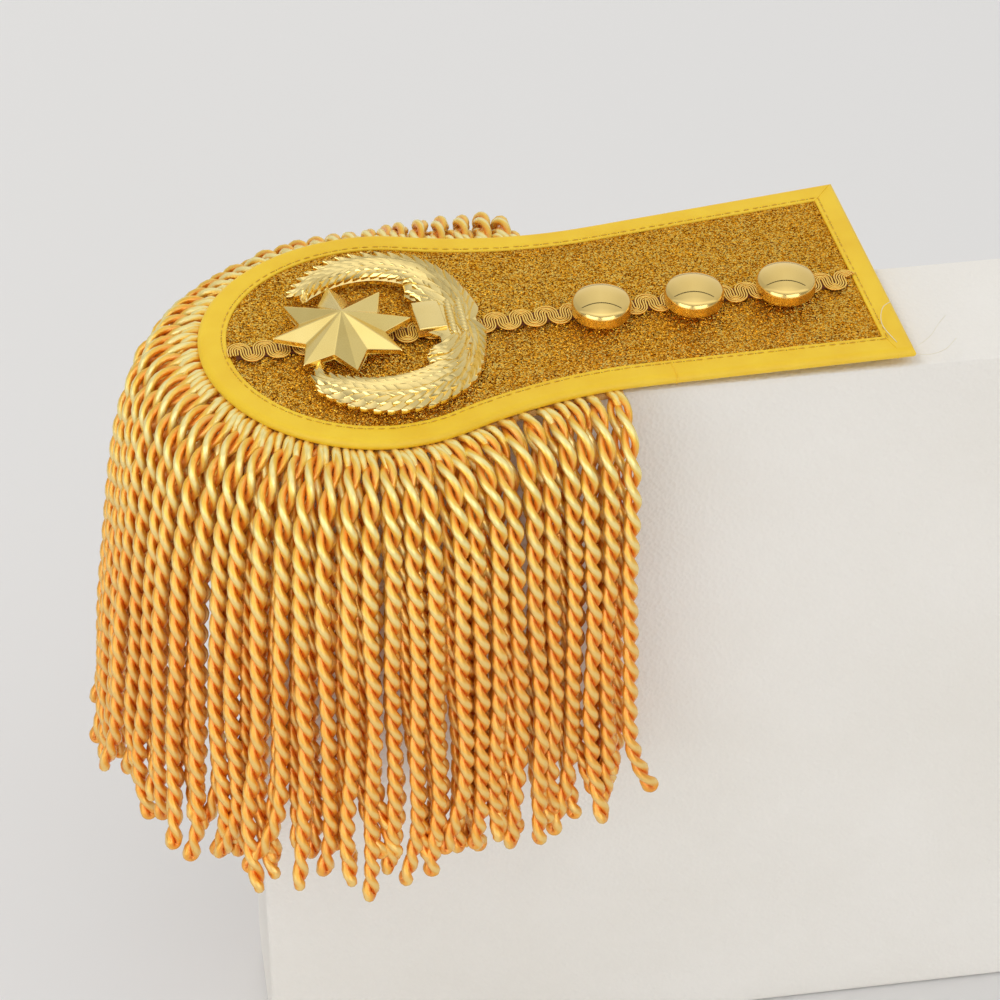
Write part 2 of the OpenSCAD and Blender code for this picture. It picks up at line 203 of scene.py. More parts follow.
# Photograph: focal length and sensor in millimetres, the point that it looks at, and its direction
LENS = 126.0
SENSOR = 36.0
LOOK_AT = np.array([-61.4, -58.0, 235.1])
LOOK_DISTANCE = 823.5
AZIMUTH = 13.5
ELEVATION = 40.0


def sin(angle):
    return np.sin(np.radians(angle))


def cos(angle):
    return np.cos(np.radians(angle))


def tan(angle):
    return np.tan(np.radians(angle))


def unit(vectors):
    """Vectors of length one, for one vector or a row of them."""
    return vectors / np.maximum(np.linalg.norm(vectors, axis=-1, keepdims=True), 1e-12)


def waves(x, seed, lengths, amplitude):
    """Smooth unevenness along x: sines of several wavelengths with seeded phases."""
    rng = np.random.default_rng(seed)
    total = np.zeros(np.shape(x))
    for length in lengths:
        total = total + np.sin(2 * np.pi * x / length + rng.uniform(0, 2 * np.pi))
    return amplitude * total / len(lengths)


# The board's outline

def skewed(p):
    """The head's tip leans to the far side and reaches a little past the circle."""
    tip = np.maximum(0, (HEAD_R - p[..., 0]) / HEAD_R) ** 2
    return np.stack([p[..., 0] - tip * TIP_REACH, p[..., 1] + tip * HEAD_SKEW], -1)


NECK_MID = (HEAD_R + NECK_R) * np.array([cos(NECK_ANGLE), sin(NECK_ANGLE)]) + np.array([HEAD_R, 0])


def neck_point(angle, inset, side):
    """A point of the neck curve at an angle from its deepest place, inset from the rim."""
    return np.stack([NECK_MID[0] + (NECK_R + inset) * sin(angle),
                     side * (NECK_MID[1] - (NECK_R + inset) * cos(angle))], -1)


def head_point(angle, inset):
    """A point of the round head at an angle, inset from the rim."""
    return np.stack([HEAD_R + (HEAD_R - inset) * cos(angle), (HEAD_R - inset) * sin(angle)], -1)


def strap_corner(inset, side):
    """The strap's corner: its flared side runs on from the neck curve to the straight end."""
    start = neck_point(STRAP_FLARE, inset, 1)
    half = start[1] + (BOARD_L - start[0]) * tan(STRAP_FLARE)
    end_u = BOARD_L - inset + side * half * tan(END_TURN)
    return np.array([end_u, side * (start[1] + (end_u - start[0]) * tan(STRAP_FLARE))])


def straight(a, b, count):
    """Points from a up to, but not at, b."""
    return a + (b - a) * np.linspace(0, 1, count, endpoint=False)[:, None]


SIDE_STEPS = 56
NECK_STEPS = 30
HEAD_STEPS = 110
END_STEPS = 36


def outline(inset):
    """The whole outline of the board, inset from its rim, from the near corner round to the far one."""
    near = neck_point(np.linspace(STRAP_FLARE, -NECK_TURN, NECK_STEPS), inset, -1)
    head = head_point(np.linspace(360 - NECK_ANGLE, NECK_ANGLE, HEAD_STEPS)[1:-1], inset)
    far = neck_point(np.linspace(-NECK_TURN, STRAP_FLARE, NECK_STEPS), inset, 1)
    near_corner, far_corner = strap_corner(inset, -1), strap_corner(inset, 1)
    ring = np.concatenate([straight(near_corner, near[0], SIDE_STEPS), near, head, far[:-1],
                           straight(far[-1], far_corner, SIDE_STEPS),
                           straight(far_corner, near_corner, END_STEPS)])
    return skewed(ring)


def lengths_along(points):
    """Distance along a row of points, from its first one."""
    steps = np.linalg.norm(np.diff(points, axis=0), axis=1)
    return np.concatenate([[0], np.cumsum(steps)])


RIM_LENGTH = lengths_along(outline(0))


# Mesh making

class Shape:
    """Points, faces and UVs that become one mesh."""

    def __init__(self):
        self.points = []
        self.faces = []
        self.uvs = []
        self.count = 0

    def add(self, points, faces, uvs=None):
        points = np.asarray(points, float).reshape(-1, 3)
        self.points.append(points)
        self.faces.extend([[i + self.count for i in face] for face in faces])
        self.uvs.extend(uvs if uvs is not None else [[(0.0, 0.0)] * len(face) for face in faces])
        self.count += len(points)


def grid_faces(rings, n, closed_loop=False):
    """Faces between closed rings of n points, with their UVs in rings and sides."""
    faces, uvs = [], []
    for i in range(rings if closed_loop else rings - 1):
        for j in range(n):
            a, b, k = i * n, (i + 1) % rings * n, (j + 1) % n
            faces.append([a + j, a + k, b + k, b + j])
            uvs.append([(i, j), (i, j + 1), (i + 1, j + 1), (i + 1, j)])
    return faces, uvs


def add_loft(shape, rings, flip=False):
    """Adds a skin over closed rings of the same number of points, with both ends closed."""
    rings = np.asarray(rings, float)
    count, n = rings.shape[:2]
    faces, _ = grid_faces(count, n)
    faces.append(list(range(n))[::-1])
    faces.append([(count - 1) * n + j for j in range(n)])
    if flip:
        faces = [face[::-1] for face in faces]
    shape.add(rings, faces)


def frames_along(path):
    """Two directions across a path at each of its points, turned as little as possible."""
    along = unit(np.gradient(path, axis=0))
    across = np.zeros_like(along)
    start = np.cross(along[0], [0.31, 0.17, 0.93])
    across[0] = unit(start)
    for i in range(1, len(path)):
        moved = across[i - 1] - along[i] * np.dot(across[i - 1], along[i])
        across[i] = moved / max(np.linalg.norm(moved), 1e-9)
    return along, across, np.cross(along, across)


def add_tube(shape, path, radius, sides, flat=1.0, inward=None):
    """Adds a closed tube along a path. Its UVs are millimetres along it and the share round it,
    which starts at its inner side where the inward directions are given."""
    path = np.asarray(path, float)
    along, across, up = frames_along(path)
    if inward is not None:
        across = unit(inward - along * np.sum(along * inward, axis=1, keepdims=True))
        up = np.cross(along, across)
    radius = np.broadcast_to(np.asarray(radius, float), (len(path),))
    turn = 2 * np.pi * np.arange(sides) / sides
    rings = (path[:, None] + radius[:, None, None] * (np.cos(turn)[None, :, None] * across[:, None]
             + flat * np.sin(turn)[None, :, None] * up[:, None]))
    faces, uvs = grid_faces(len(path), sides)
    run = lengths_along(path)
    uvs = [[(run[i], j / sides) for i, j in corner] for corner in uvs]
    last = (len(path) - 1) * sides
    faces.append(list(range(sides))[::-1])
    uvs.append([(run[0], j / sides) for j in range(sides)])
    faces.append([last + j for j in range(sides)])
    uvs.append([(run[-1], j / sides) for j in range(sides)])
    shape.add(rings, faces, uvs)


def smooth_path(points, gap):
    """Evenly spaced points on a smooth curve through the given ones."""
    points = np.asarray(points, float)
    padded = np.concatenate([[2 * points[0] - points[1]], points, [2 * points[-1] - points[-2]]])
    fine = []
    for i in range(1, len(padded) - 2):
        a, b, c, d = padded[i - 1:i + 3]
        t = np.linspace(0, 1, 16, endpoint=False)[:, None]
        fine.append(0.5 * (2 * b + (c - a) * t + (2 * a - 5 * b + 4 * c - d) * t ** 2
                           + (3 * b - a - 3 * c + d) * t ** 3))
    fine = np.concatenate(fine + [points[-1:]])
    run = lengths_along(fine)
    stations = np.linspace(0, run[-1], max(3, int(round(run[-1] / gap)) + 1))
    return np.stack([np.interp(stations, run, fine[:, k]) for k in range(fine.shape[1])], -1)


def finish_piece(obj, material, node):
    """Gives a piece its material if it has none, hides the CAD node that it replaces, and fixes it to the
    body.
    """
    if not obj.data.materials:
        obj.data.materials.append(material)
    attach(obj, "root")
    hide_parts(node)
    return obj


def make_piece(name, shape, material, node, sharp=None, origin=BOARD_AT):
    """Makes a piece from a shape in the board's frame."""
    points = (np.concatenate(shape.points) + origin) * MM
    mesh = bpy.data.meshes.new(name)
    mesh.from_pydata(points.tolist(), [], shape.faces)
    layer = mesh.uv_layers.new(name="UVMap")
    layer.data.foreach_set("uv", np.array([uv for face in shape.uvs for uv in face], np.float32).ravel())
    mesh.polygons.foreach_set("use_smooth", [True] * len(mesh.polygons))
    if sharp is not None:
        mesh.set_sharp_from_angle(angle=math.radians(sharp))
    mesh.validate()
    mesh.update()
    obj = bpy.data.objects.new(name, mesh)
    bpy.context.scene.collection.objects.link(obj)
    return finish_piece(obj, material, node)


# Materials

# Heights in metres over which the cords' painted top light fades in: colour painted darker on the hanging
# cords and paler towards the rim, where more light falls from above
PAINTED_LIGHT_FROM = 0.172
PAINTED_LIGHT_TO = 0.222

# How far a fleck of glitter leans at most, as a share of the cloth's normal
FLECK_TILT = 1.1


class Nodes:
    """A node tree with short calls for its nodes."""

    def __init__(self, tree):
        self.tree = tree

    def node(self, kind, **values):
        node = self.tree.nodes.new(kind)
        for key, value in values.items():
            setattr(node, key, value)
        return node

    def link(self, out, into):
        self.tree.links.new(out, into)

    def math(self, operation, *values, vector=False):
        """Result of a math node on numbers or vectors. A value that is a socket is linked."""
        node = self.node("ShaderNodeVectorMath" if vector else "ShaderNodeMath", operation=operation)
        for value, socket in zip(values, node.inputs):
            if isinstance(value, bpy.types.NodeSocket):
                self.link(value, socket)
            else:
                socket.default_value = value
        return node.outputs["Value" if operation == "DOT_PRODUCT" else 0]

    def ramp(self, value, stops):
        """Colours along a value. Each stop is its place and its colour."""
        node = self.node("ShaderNodeValToRGB")
        while len(node.color_ramp.elements) < len(stops):
            node.color_ramp.elements.new(0.5)
        for element, (place, colour) in zip(node.color_ramp.elements, stops):
            element.position = place
            element.color = (*colour, 1)
        self.link(value, node.inputs["Fac"])
        return node.outputs["Color"]

    def spread(self, value, low, high, start=0.0, end=1.0):
        """Maps a value from start and end to low and high."""
        node = self.node("ShaderNodeMapRange")
        node.inputs["From Min"].default_value = start
        node.inputs["From Max"].default_value = end
        node.inputs["To Min"].default_value = low
        node.inputs["To Max"].default_value = high
        self.link(value, node.inputs["Value"])
        return node.outputs["Result"]


class Look(Nodes):
    """A material with short calls for what its shader reads."""

    def __init__(self, name, colour, roughness, **sockets):
        self.material = bpy.data.materials.new(name)
        self.material.use_nodes = True
        super().__init__(self.material.node_tree)
        self.shader = self.tree.nodes["Principled BSDF"]
        self.shader.inputs["Base Color"].default_value = (*colour, 1)
        self.shader.inputs["Roughness"].default_value = roughness
        for socket, value in sockets.items():
            self.shader.inputs[socket.replace("_", " ")].default_value = value

    def place(self, scale, uv=False):
        """Coordinates on the object in metres, or the piece's own UVs, stretched by a scale."""
        source = self.node("ShaderNodeTexCoord")
        mapping = self.node("ShaderNodeMapping")
        mapping.inputs["Scale"].default_value = scale
        self.link(source.outputs["UV" if uv else "Object"], mapping.inputs["Vector"])
        return mapping.outputs["Vector"]

    def noise(self, place, scale=1.0, detail=2.0, rough=0.5):
        node = self.node("ShaderNodeTexNoise")
        node.inputs["Scale"].default_value = scale
        node.inputs["Detail"].default_value = detail
        node.inputs["Roughness"].default_value = rough
        self.link(place, node.inputs["Vector"])
        return node.outputs["Fac"]

    def cells(self, place, scale=1.0):
        node = self.node("ShaderNodeTexVoronoi")
        node.inputs["Scale"].default_value = scale
        self.link(place, node.inputs["Vector"])
        return node

    def bump(self, height, distance, strength=1.0, after=None):
        node = self.node("ShaderNodeBump")
        node.inputs["Distance"].default_value = distance
        node.inputs["Strength"].default_value = strength
        self.link(height, node.inputs["Height"])
        if after is not None:
            self.link(after, node.inputs["Normal"])
        return node.outputs["Normal"]

    def blend(self, share, a, b):
        """Mixes two colours by a share."""
        node = self.node("ShaderNodeMix", data_type="RGBA")
        self.link(share, node.inputs["Factor"])
        self.link(a, node.inputs[6])
        self.link(b, node.inputs[7])
        return node.outputs[2]

    def part(self, vector, axis):
        """One of a vector's three numbers."""
        node = self.node("ShaderNodeSeparateXYZ")
        self.link(vector, node.inputs[0])
        return node.outputs[axis]

    def into(self, out, socket):
        self.link(out, self.shader.inputs[socket])


def foam_look():
    look = Look("foam", (0.87, 0.845, 0.80), 0.85)
    place = look.place((1, 1, 1))
    patches = look.noise(place, 14, 3)
    tones = [(0.35, (0.875, 0.845, 0.79)), (0.65, (0.915, 0.89, 0.845))]
    look.into(look.ramp(patches, tones), "Base Color")
    cells = look.cells(place, 900)
    soft = look.bump(look.noise(place, 120, 4), 0.0006, 0.5)
    look.into(look.bump(cells.outputs["Distance"], 0.00025, 0.6, soft), "Normal")
    return look.material


def glitter_look():
    look = Look("glitter_cloth", (0.5, 0.3, 0.05), 0.35, Metallic=0.9, Specular_Tint=(1.0, 0.72, 0.30, 1))
    place = look.place((1, 1, 1))
    cells = look.cells(place, 3300)
    parts = look.node("ShaderNodeSeparateColor")
    look.link(cells.outputs["Color"], parts.inputs["Color"])
    flecks = look.ramp(parts.outputs["Red"], [
        (0.0, (0.16, 0.035, 0.001)), (0.35, (0.62, 0.22, 0.004)), (0.6, (1.0, 0.52, 0.04)),
        (1.0, (1.0, 0.80, 0.24))])
    look.into(flecks, "Base Color")
    look.into(look.spread(parts.outputs["Green"], 0.14, 0.5), "Roughness")
    tilt = look.math("MULTIPLY_ADD", cells.outputs["Color"], [2 * FLECK_TILT] * 3, [-FLECK_TILT] * 3,
                     vector=True)
    normal = look.node("ShaderNodeNewGeometry").outputs["Normal"]
    look.into(look.math("NORMALIZE", look.math("ADD", tilt, normal, vector=True), vector=True), "Normal")
    return look.material


def satin_look():
    look = Look("satin_tape", (0.88, 0.58, 0.035), 0.5, Sheen_Weight=0.15, Sheen_Roughness=0.4,
                Sheen_Tint=(1.0, 0.85, 0.35, 1))
    place = look.place((1, 1, 1))
    tone = look.noise(place, 90, 3)
    look.into(look.ramp(tone, [(0.3, (0.90, 0.56, 0.010)), (0.7, (0.96, 0.65, 0.022))]), "Base Color")
    wave = look.node("ShaderNodeTexWave", wave_type="BANDS", bands_direction="DIAGONAL")
    wave.inputs["Scale"].default_value = 1100
    wave.inputs["Distortion"].default_value = 0.6
    look.link(place, wave.inputs["Vector"])
    creases = look.bump(look.noise(place, 260, 3), 0.0002, 0.45)
    look.into(look.bump(wave.outputs["Fac"], 0.00005, 0.35, creases), "Normal")
    return look.material


def thread_look(name, low, high, roughness, fibre=26.0, metal=0.0, core=None, shade=None, coat=0.0,
                below=None):
    """Shiny yarn: fine filaments along a tube's UVs and uneven colour. Where a core and a shade are given,
    the colour round each ply is painted light:
    painted shade on its inner side and its flanks and a painted highlight on its outer crest. Where below is
    given, the cords get painted top light, darker low down and paler towards the rim."""
    look = Look(name, high, roughness, Metallic=metal, Anisotropic=0.35, Anisotropic_Rotation=0.25,
                Specular_IOR_Level=0.9, Specular_Tint=(1.0, 0.93, 0.68, 1), Sheen_Weight=0.08,
                Sheen_Roughness=0.35, Sheen_Tint=(1.0, 0.88, 0.55, 1), Coat_Weight=coat,
                Coat_Roughness=0.22, Coat_IOR=1.8, Coat_Tint=(1.0, 0.98, 0.88, 1))
    tangent = look.node("ShaderNodeTangent", direction_type="UV_MAP", uv_map="UVMap")
    look.into(tangent.outputs["Tangent"], "Tangent")
    filaments = look.noise(look.place((0.22, fibre, 1), uv=True), 1.0, 3, 0.6)
    patches = look.noise(look.place((1, 1, 1)), 240, 2)
    mixed = look.math("ADD", filaments, patches)
    colour = look.ramp(look.spread(mixed, 0, 1, 0.65, 1.35), [(0.0, low), (1.0, high)])
    if core is not None:
        # Painted shade and highlight round each ply: the core colour on its inner side, the shade on its
        # flanks, and high, a painted highlight, on its outer crest
        far = look.math("PINGPONG", look.part(look.place((1, 1, 1), uv=True), "Y"), 0.5)
        stops = [(0.06, core), (0.17, core), (0.27, shade), (0.36, low), (0.45, high)]
        across = look.ramp(far, stops)
        colour = look.blend(look.spread(mixed, 0.0, 0.35, 0.7, 1.3), across, colour)
    # Painted top light: the colour is multiplied by a darker tint low on the cords, fading out towards the
    # rim
    if below is not None:
        share = look.spread(look.part(look.place((1, 1, 1)), "Z"), 0.0, 1.0, PAINTED_LIGHT_FROM, PAINTED_LIGHT_TO)
        tint = look.ramp(share, [(0.0, below), (1.0, (1.0, 1.0, 1.0))])
        colour = look.math("MULTIPLY", colour, tint, vector=True)
    look.into(colour, "Base Color")
    look.into(look.bump(filaments, 0.00014, 0.8), "Normal")
    return look.material


def gilt_look(name, colour, roughness, grain, wall_roughness=None):
    """Bright plated metal, faintly uneven in polish. Upright faces can be duller than level ones."""
    look = Look(name, colour, roughness, Metallic=1.0)
    place = look.place((1, 1, 1))
    if wall_roughness is None:
        polish = look.noise(place, 300, 3)
        look.into(look.spread(polish, roughness * 0.8, roughness * 1.25, 0.3, 0.7), "Roughness")
    else:
        upright = look.part(look.node("ShaderNodeNewGeometry").outputs["Normal"], "Z")
        look.into(look.spread(upright, wall_roughness, roughness, 0.4, 0.75), "Roughness")
    deep = tuple(c * d for c, d in zip(colour, (0.96, 0.93, 0.86)))
    look.into(look.ramp(look.noise(place, 110, 2), [(0.3, deep), (0.7, colour)]), "Base Color")
    look.into(look.bump(look.noise(place, 700, 3), 0.00004, grain), "Normal")
    return look.material


def cloth_look(name, colour, scale):
    """Plain woven cloth for the faces that nobody sees."""
    look = Look(name, colour, 0.85)
    place = look.place((1, 1, 1))
    warp = look.node("ShaderNodeTexWave", wave_type="BANDS", bands_direction="X")
    weft = look.node("ShaderNodeTexWave", wave_type="BANDS", bands_direction="Y")
    for wave in (warp, weft):
        wave.inputs["Scale"].default_value = scale
        look.link(place, wave.inputs["Vector"])
    weave = look.math("MULTIPLY", warp.outputs["Fac"], weft.outputs["Fac"])
    deep = tuple(0.8 * c for c in colour)
    look.into(look.ramp(weave, [(0.0, deep), (1.0, colour)]), "Base Color")
    look.into(look.bump(weave, 0.0001, 0.6), "Normal")
    return look.material


def floor_look():
    look = Look("floor", (0.80, 0.79, 0.78), 0.6)
    tone = look.noise(look.place((1, 1, 1)), 1.2, 2)
    look.into(look.ramp(tone, [(0.3, (0.80, 0.795, 0.79)), (0.7, (0.82, 0.815, 0.815))]), "Base Color")
    return look.material


FOAM = foam_look()
GLITTER = glitter_look()
SATIN = satin_look()
STITCH = thread_look("stitch_thread", (0.62, 0.34, 0.02), (0.80, 0.50, 0.04), 0.5, 8.0)
# Dark discs in the needle holes: painted shade
HOLE_SHADE = Look("needle_hole_shade", (0.10, 0.05, 0.01), 0.9).material
# Its core and shade are painted shade in the crevices and on the flanks of the plies, and its high colour is
# also their painted highlight
BRAID = thread_look("braid_thread", (1.0, 0.50, 0.025), (1.0, 0.74, 0.16), 0.3, 8.0, metal=0.4,
                    core=(0.50, 0.11, 0.003), shade=(0.90, 0.34, 0.015), coat=0.3)
# Near-black strip under the braid's cords: its colour is painted shade in the gaps between them
BRAID_SHADE_BASE = cloth_look("braid_shade_base", (0.13, 0.028, 0.002), 900)
# Its core and shade are painted shade in the crevices and on the flanks of the plies, its high colour is
# also their painted highlight, and below is the darker tint of the painted top light
CORD = thread_look("fringe_thread", (1.0, 0.61, 0.055), (1.0, 0.90, 0.40), 0.25, metal=0.45,
                   core=(1.0, 0.36, 0.010), shade=(1.0, 0.53, 0.028), coat=0.3, below=(0.95, 0.71, 0.48))
BADGE = gilt_look("pale_gilt", (0.945, 0.755, 0.32), 0.15, 0.25)
STAR_GILT = gilt_look("star_gilt", (0.96, 0.76, 0.285), 0.18, 0.08)
MIRROR = gilt_look("mirror_gilt", (0.94, 0.695, 0.25), 0.045, 0.015, wall_roughness=0.24)
LINING = cloth_look("lining", (0.55, 0.36, 0.10), 420)
HEADING = cloth_look("heading", (0.80, 0.50, 0.16), 500)
PALE_THREAD = thread_look("pale_thread", (0.80, 0.74, 0.60), (0.92, 0.88, 0.78), 0.6, 8.0)


# Display block

def axis_steps(half, step):
    """Places along one side of the block: close together over its rounded edges."""
    near_edge = half - BLOCK_ROUND * np.array([0, 0.3, 0.65, 1.0])
    count = max(2, int(round(2 * near_edge[-1] / step)))
    inner = np.linspace(-near_edge[-1], near_edge[-1], count + 1)
    return np.concatenate([-near_edge[:-1], inner, near_edge[:-1][::-1]])


def display_block():
    """Foam block with soft edges and slightly uneven faces."""
    half = BLOCK / 2
    steps = [axis_steps(h, BLOCK_STEP) for h in half]
    last = [len(s) - 1 for s in steps]
    index, points, faces = {}, [], []

    def corner(key):
        if key not in index:
            index[key] = len(points)
            points.append([steps[k][key[k]] for k in range(3)])
        return index[key]

    for axis in range(3):
        b, c = (axis + 1) % 3, (axis + 2) % 3
        for side in (0, last[axis]):
            for i in range(last[b]):
                for j in range(last[c]):
                    quad = []
                    for di, dj in ((0, 0), (1, 0), (1, 1), (0, 1)):
                        key = [0, 0, 0]
                        key[axis], key[b], key[c] = side, i + di, j + dj
                        quad.append(corner(tuple(key)))
                    faces.append(quad if side else quad[::-1])
    points = np.array(points)
    core = np.clip(points, -(half - BLOCK_ROUND), half - BLOCK_ROUND)
    outward = unit(points - core)
    points = core + outward * BLOCK_ROUND
    uneven = (waves(points[:, 0] + 0.4 * points[:, 2], SEED, (31, 57, 93), BLOCK_UNEVEN)
              + waves(points[:, 2] - 0.3 * points[:, 0], SEED + 1, (23, 41, 77), BLOCK_UNEVEN))
    uneven = np.where(np.abs(outward[:, 2]) > 0.7, 0, uneven - 2 * BLOCK_UNEVEN)
    points = points + outward * uneven[:, None]
    points = points @ np.array([[cos(BLOCK_TURN), sin(BLOCK_TURN), 0],
                                [-sin(BLOCK_TURN), cos(BLOCK_TURN), 0], [0, 0, 1]])
    shape = Shape()
    shape.add(points + [0, 0, half[2]], faces)
    make_piece("foam_block", shape, FOAM, "display_block", origin=np.zeros(3))


# Board, binding and stitches

def flat_ring(inset, w):
    points = outline(inset)
    return np.concatenate([points, np.full((len(points), 1), w)], 1)


def board():
    """Stiff board: glitter cloth above, plain lining below and a thin edge inside the binding."""
    shape = Shape()
    edge, low, high = BIND_WALL + SOFT_GAP, BIND_WALL + SOFT_GAP, BIND_T - BIND_WALL - SOFT_GAP
    add_loft(shape, [flat_ring(BIND_W + CLOTH_INSET, low), flat_ring(edge, low),
                     flat_ring(edge, high), flat_ring(BIND_W, high),
                     flat_ring(BIND_W, BOARD_TOP - CLOTH_ROUND),
                     flat_ring(BIND_W + 0.3 * CLOTH_ROUND, BOARD_TOP - 0.3 * CLOTH_ROUND),
                     flat_ring(BIND_W + CLOTH_ROUND, BOARD_TOP)])
    make_piece("glitter_board", shape, GLITTER, "board", 40)
    under = Shape()
    rim = BIND_W + SOFT_GAP
    add_loft(under, [flat_ring(rim + LINING_ROUND, BOARD_Z), flat_ring(rim, BOARD_Z + LINING_ROUND / 2),
                     flat_ring(rim, low - 0.02), flat_ring(rim + LINING_ROUND, low - 0.01)])
    make_piece("board_lining", under, LINING, "board", 40)


# The tape's rounded inner edges. Columns: inset from the inner edge outwards, depth below the face
TAPE_EDGE = [(0.0, 0.28), (0.08, 0.1), (0.3, 0.0)]

# Insets of the points across the tape's faces, close together round the stitches on the upper one
UPPER_INSETS = [STITCH_INSET + step for step in (0.55, 0.25, 0, -0.25, -0.55, -1.05)] + [3.6, 2.7, 2.0]
LOWER_INSETS = [2.6, 4.0, STITCH_INSET, STITCH_INSET + 0.55]

# A stitch along its length. Columns: place as a share of its length, height, share of its radius
STITCH_FORM = np.array([[-0.5, -0.12, 0.4], [-0.4, 0.0, 0.85], [-0.15, 0.06, 1.0], [0.15, 0.06, 1.0],
                        [0.4, 0.0, 0.85], [0.5, -0.12, 0.4]])

# Fold at a corner of the strap, outwards. Columns: inset from the rim, depth below the upper face
CORNER_FOLD = [(6.5, 0.05), (4.0, 0.02), (2.4, 0.0), (1.3, 0.1), (0.4, 0.75)]

# How the near corner's fold runs on, round the edge and in underneath
FOLD_END = [(-0.03, 1.5), (0.4, 2.6)]


def around_edge(first, last, count, proud=0.0):
    """Points round the tape's outer edge, from one angle to another: inset and height."""
    r = BIND_T / 2
    return [(r - (r + proud) * cos(a), r + (r + proud) * sin(a)) for a in np.linspace(first, last, count)]


def binding_section():
    """The folded tape across: inset and height round its upper face, edge, lower face and inside."""
    top = [(BIND_W, BIND_T - BIND_WALL)] + [(BIND_W - x, BIND_T - depth) for x, depth in TAPE_EDGE]
    top += [(inset, BIND_T) for inset in UPPER_INSETS]
    low = [(inset, 0) for inset in LOWER_INSETS] + [(BIND_W - x, depth) for x, depth in TAPE_EDGE[::-1]]
    inside = [(BIND_W, BIND_WALL), (BIND_WALL, BIND_WALL), (BIND_WALL, BIND_T - BIND_WALL)]
    return top + around_edge(90, -90, 13) + low + inside


def pucker(inset, w, run):
    """How far the tape sinks at its stitches and swells between them."""
    if BIND_WALL < w < BIND_T - BIND_WALL:
        return np.zeros(len(run))
    groove = np.exp(-((inset - STITCH_INSET) / GROOVE_W) ** 2)
    pinch = 0.5 + 0.5 * np.cos(2 * np.pi * run / STITCH_PITCH)
    share = 1 if 1.4 < inset < BIND_W - 0.2 else 0.4
    soft = waves(run, int(inset * 7) + 3, (5.3, 8.9, 13.7), TAPE_UNEVEN) * share
    return -groove * (GROOVE_DEPTH + PINCH_DEPTH * pinch) + soft - TAPE_SINK


def binding():
    """Satin tape folded over the board's edge."""
    rings = []
    for inset, w in binding_section():
        ring = flat_ring(inset, w)
        sink = pucker(inset, w, RIM_LENGTH)
        ring[:, 2] += sink if w > BIND_T / 2 else -sink
        rings.append(ring)
    shape = Shape()
    faces, _ = grid_faces(len(rings), len(rings[0]), closed_loop=True)
    shape.add(np.array(rings), [face[::-1] for face in faces])
    make_piece("satin_binding", shape, SATIN, "binding", 50)


def along_outline(inset, pitch):
    """Evenly spaced places along an inset outline, with their directions."""
    ring = outline(inset)
    ring = np.concatenate([ring, ring[:1]])
    run = lengths_along(ring)
    stations = np.arange(pitch / 2, run[-1], pitch)
    points = np.stack([np.interp(stations, run, ring[:, k]) for k in range(2)], -1)
    ahead = np.stack([np.interp(stations + 0.3, run, ring[:, k]) for k in range(2)], -1)
    return points, unit(ahead - points)


def stitches():
    """A row of thread stitches near the binding's inner edge, above and below, with dark discs sunk into the
    tape's upper face at the needle holes, whose colour is painted shade.
    """
    thread, holes = Shape(), Shape()
    points, ways = along_outline(STITCH_INSET, STITCH_PITCH)
    share, height, thickness = STITCH_FORM.T
    for p, way in zip(points, ways):
        for w, up in ((BIND_T - STITCH_SINK, 1), (STITCH_SINK, -1)):
            path = np.stack([p[0] + way[0] * share * STITCH_L,
                             p[1] + way[1] * share * STITCH_L, w + up * height], -1)
            add_tube(thread, path, STITCH_R * thickness, 6)
        # Dark discs sunk in the tape between stitches: painted shade in the needle holes
        if len(holes.points) < len(points):
            hole = p + way * STITCH_PITCH / 2
            half_l, half_w = NEEDLE_HOLE
            rim = np.array([[hole[0] + half_l * cos(a) * way[0] - half_w * sin(a) * way[1],
                             hole[1] + half_l * cos(a) * way[1] + half_w * sin(a) * way[0],
                             BIND_T - HOLE_SINK] for a in range(0, 360, 60)])
            add_loft(holes, [rim, rim + [0, 0, HOLE_T]])
    make_piece("binding_stitches", thread, STITCH, "binding")
    make_piece("needle_holes", holes, HOLE_SHADE, "binding", 30)


def seams():
    """The lap seam of the tape on the near side and the mitre folds at both corners of the strap."""
    shape = Shape()
    near = outline(0)[:SIDE_STEPS]
    at = int(np.argmin(np.abs(near[:, 0] - SEAM_U)))
    wrap = [(4.6, BIND_T), (2.6, BIND_T + 0.02)] + around_edge(90, -60, 9, SEAM_PROUD)
    path = [[*outline(inset)[at], w] for inset, w in wrap]
    add_tube(shape, smooth_path(path, 0.5), SEAM_R, 8)
    far = [[*strap_corner(inset, 1), BIND_T - depth] for inset, depth in CORNER_FOLD]
    add_tube(shape, smooth_path(far, 0.4), SEAM_R, 8)
    inner = strap_corner(BIND_W, -1)[0] + 0.6
    near = []
    for inset, depth in CORNER_FOLD + FOLD_END:
        corner = strap_corner(inset, -1)
        near.append([inner + 0.25 * (BIND_W - inset), corner[1] + tan(STRAP_FLARE) * (corner[0] - inner),
                     BIND_T - depth])
    add_tube(shape, smooth_path(near, 0.4), 1.4 * SEAM_R, 8)
    make_piece("binding_seams", shape, SATIN, "binding")


# Ends of loose threads at the near corner. Columns: three places out from the corner along u, v and w
LOOSE_THREADS = [((0, 0, 2.4), (5, 2, 4.0), (9, 6.5, 4.2), (12, 10, 3.6)),
                 ((-1, 1, 1.0), (4, -1, 0.9), (9, 0.5, 0.6), (13, 4, 0.7)),
                 ((-3, 3, 2.9), (-5, 9, 4.4), (-3, 15, 4.8), (0.5, 18, 4.3))]


def loose_threads():
    """A few loose pale threads at the near corner of the strap."""
    shape = Shape()
    corner = np.array([*strap_corner(0.8, -1), 0])
    for points in LOOSE_THREADS:
        add_tube(shape, smooth_path(corner + np.array(points, float), 0.6), LOOSE_R, 6)
    make_piece("loose_threads", shape, PALE_THREAD, "binding")


# Scroll braid

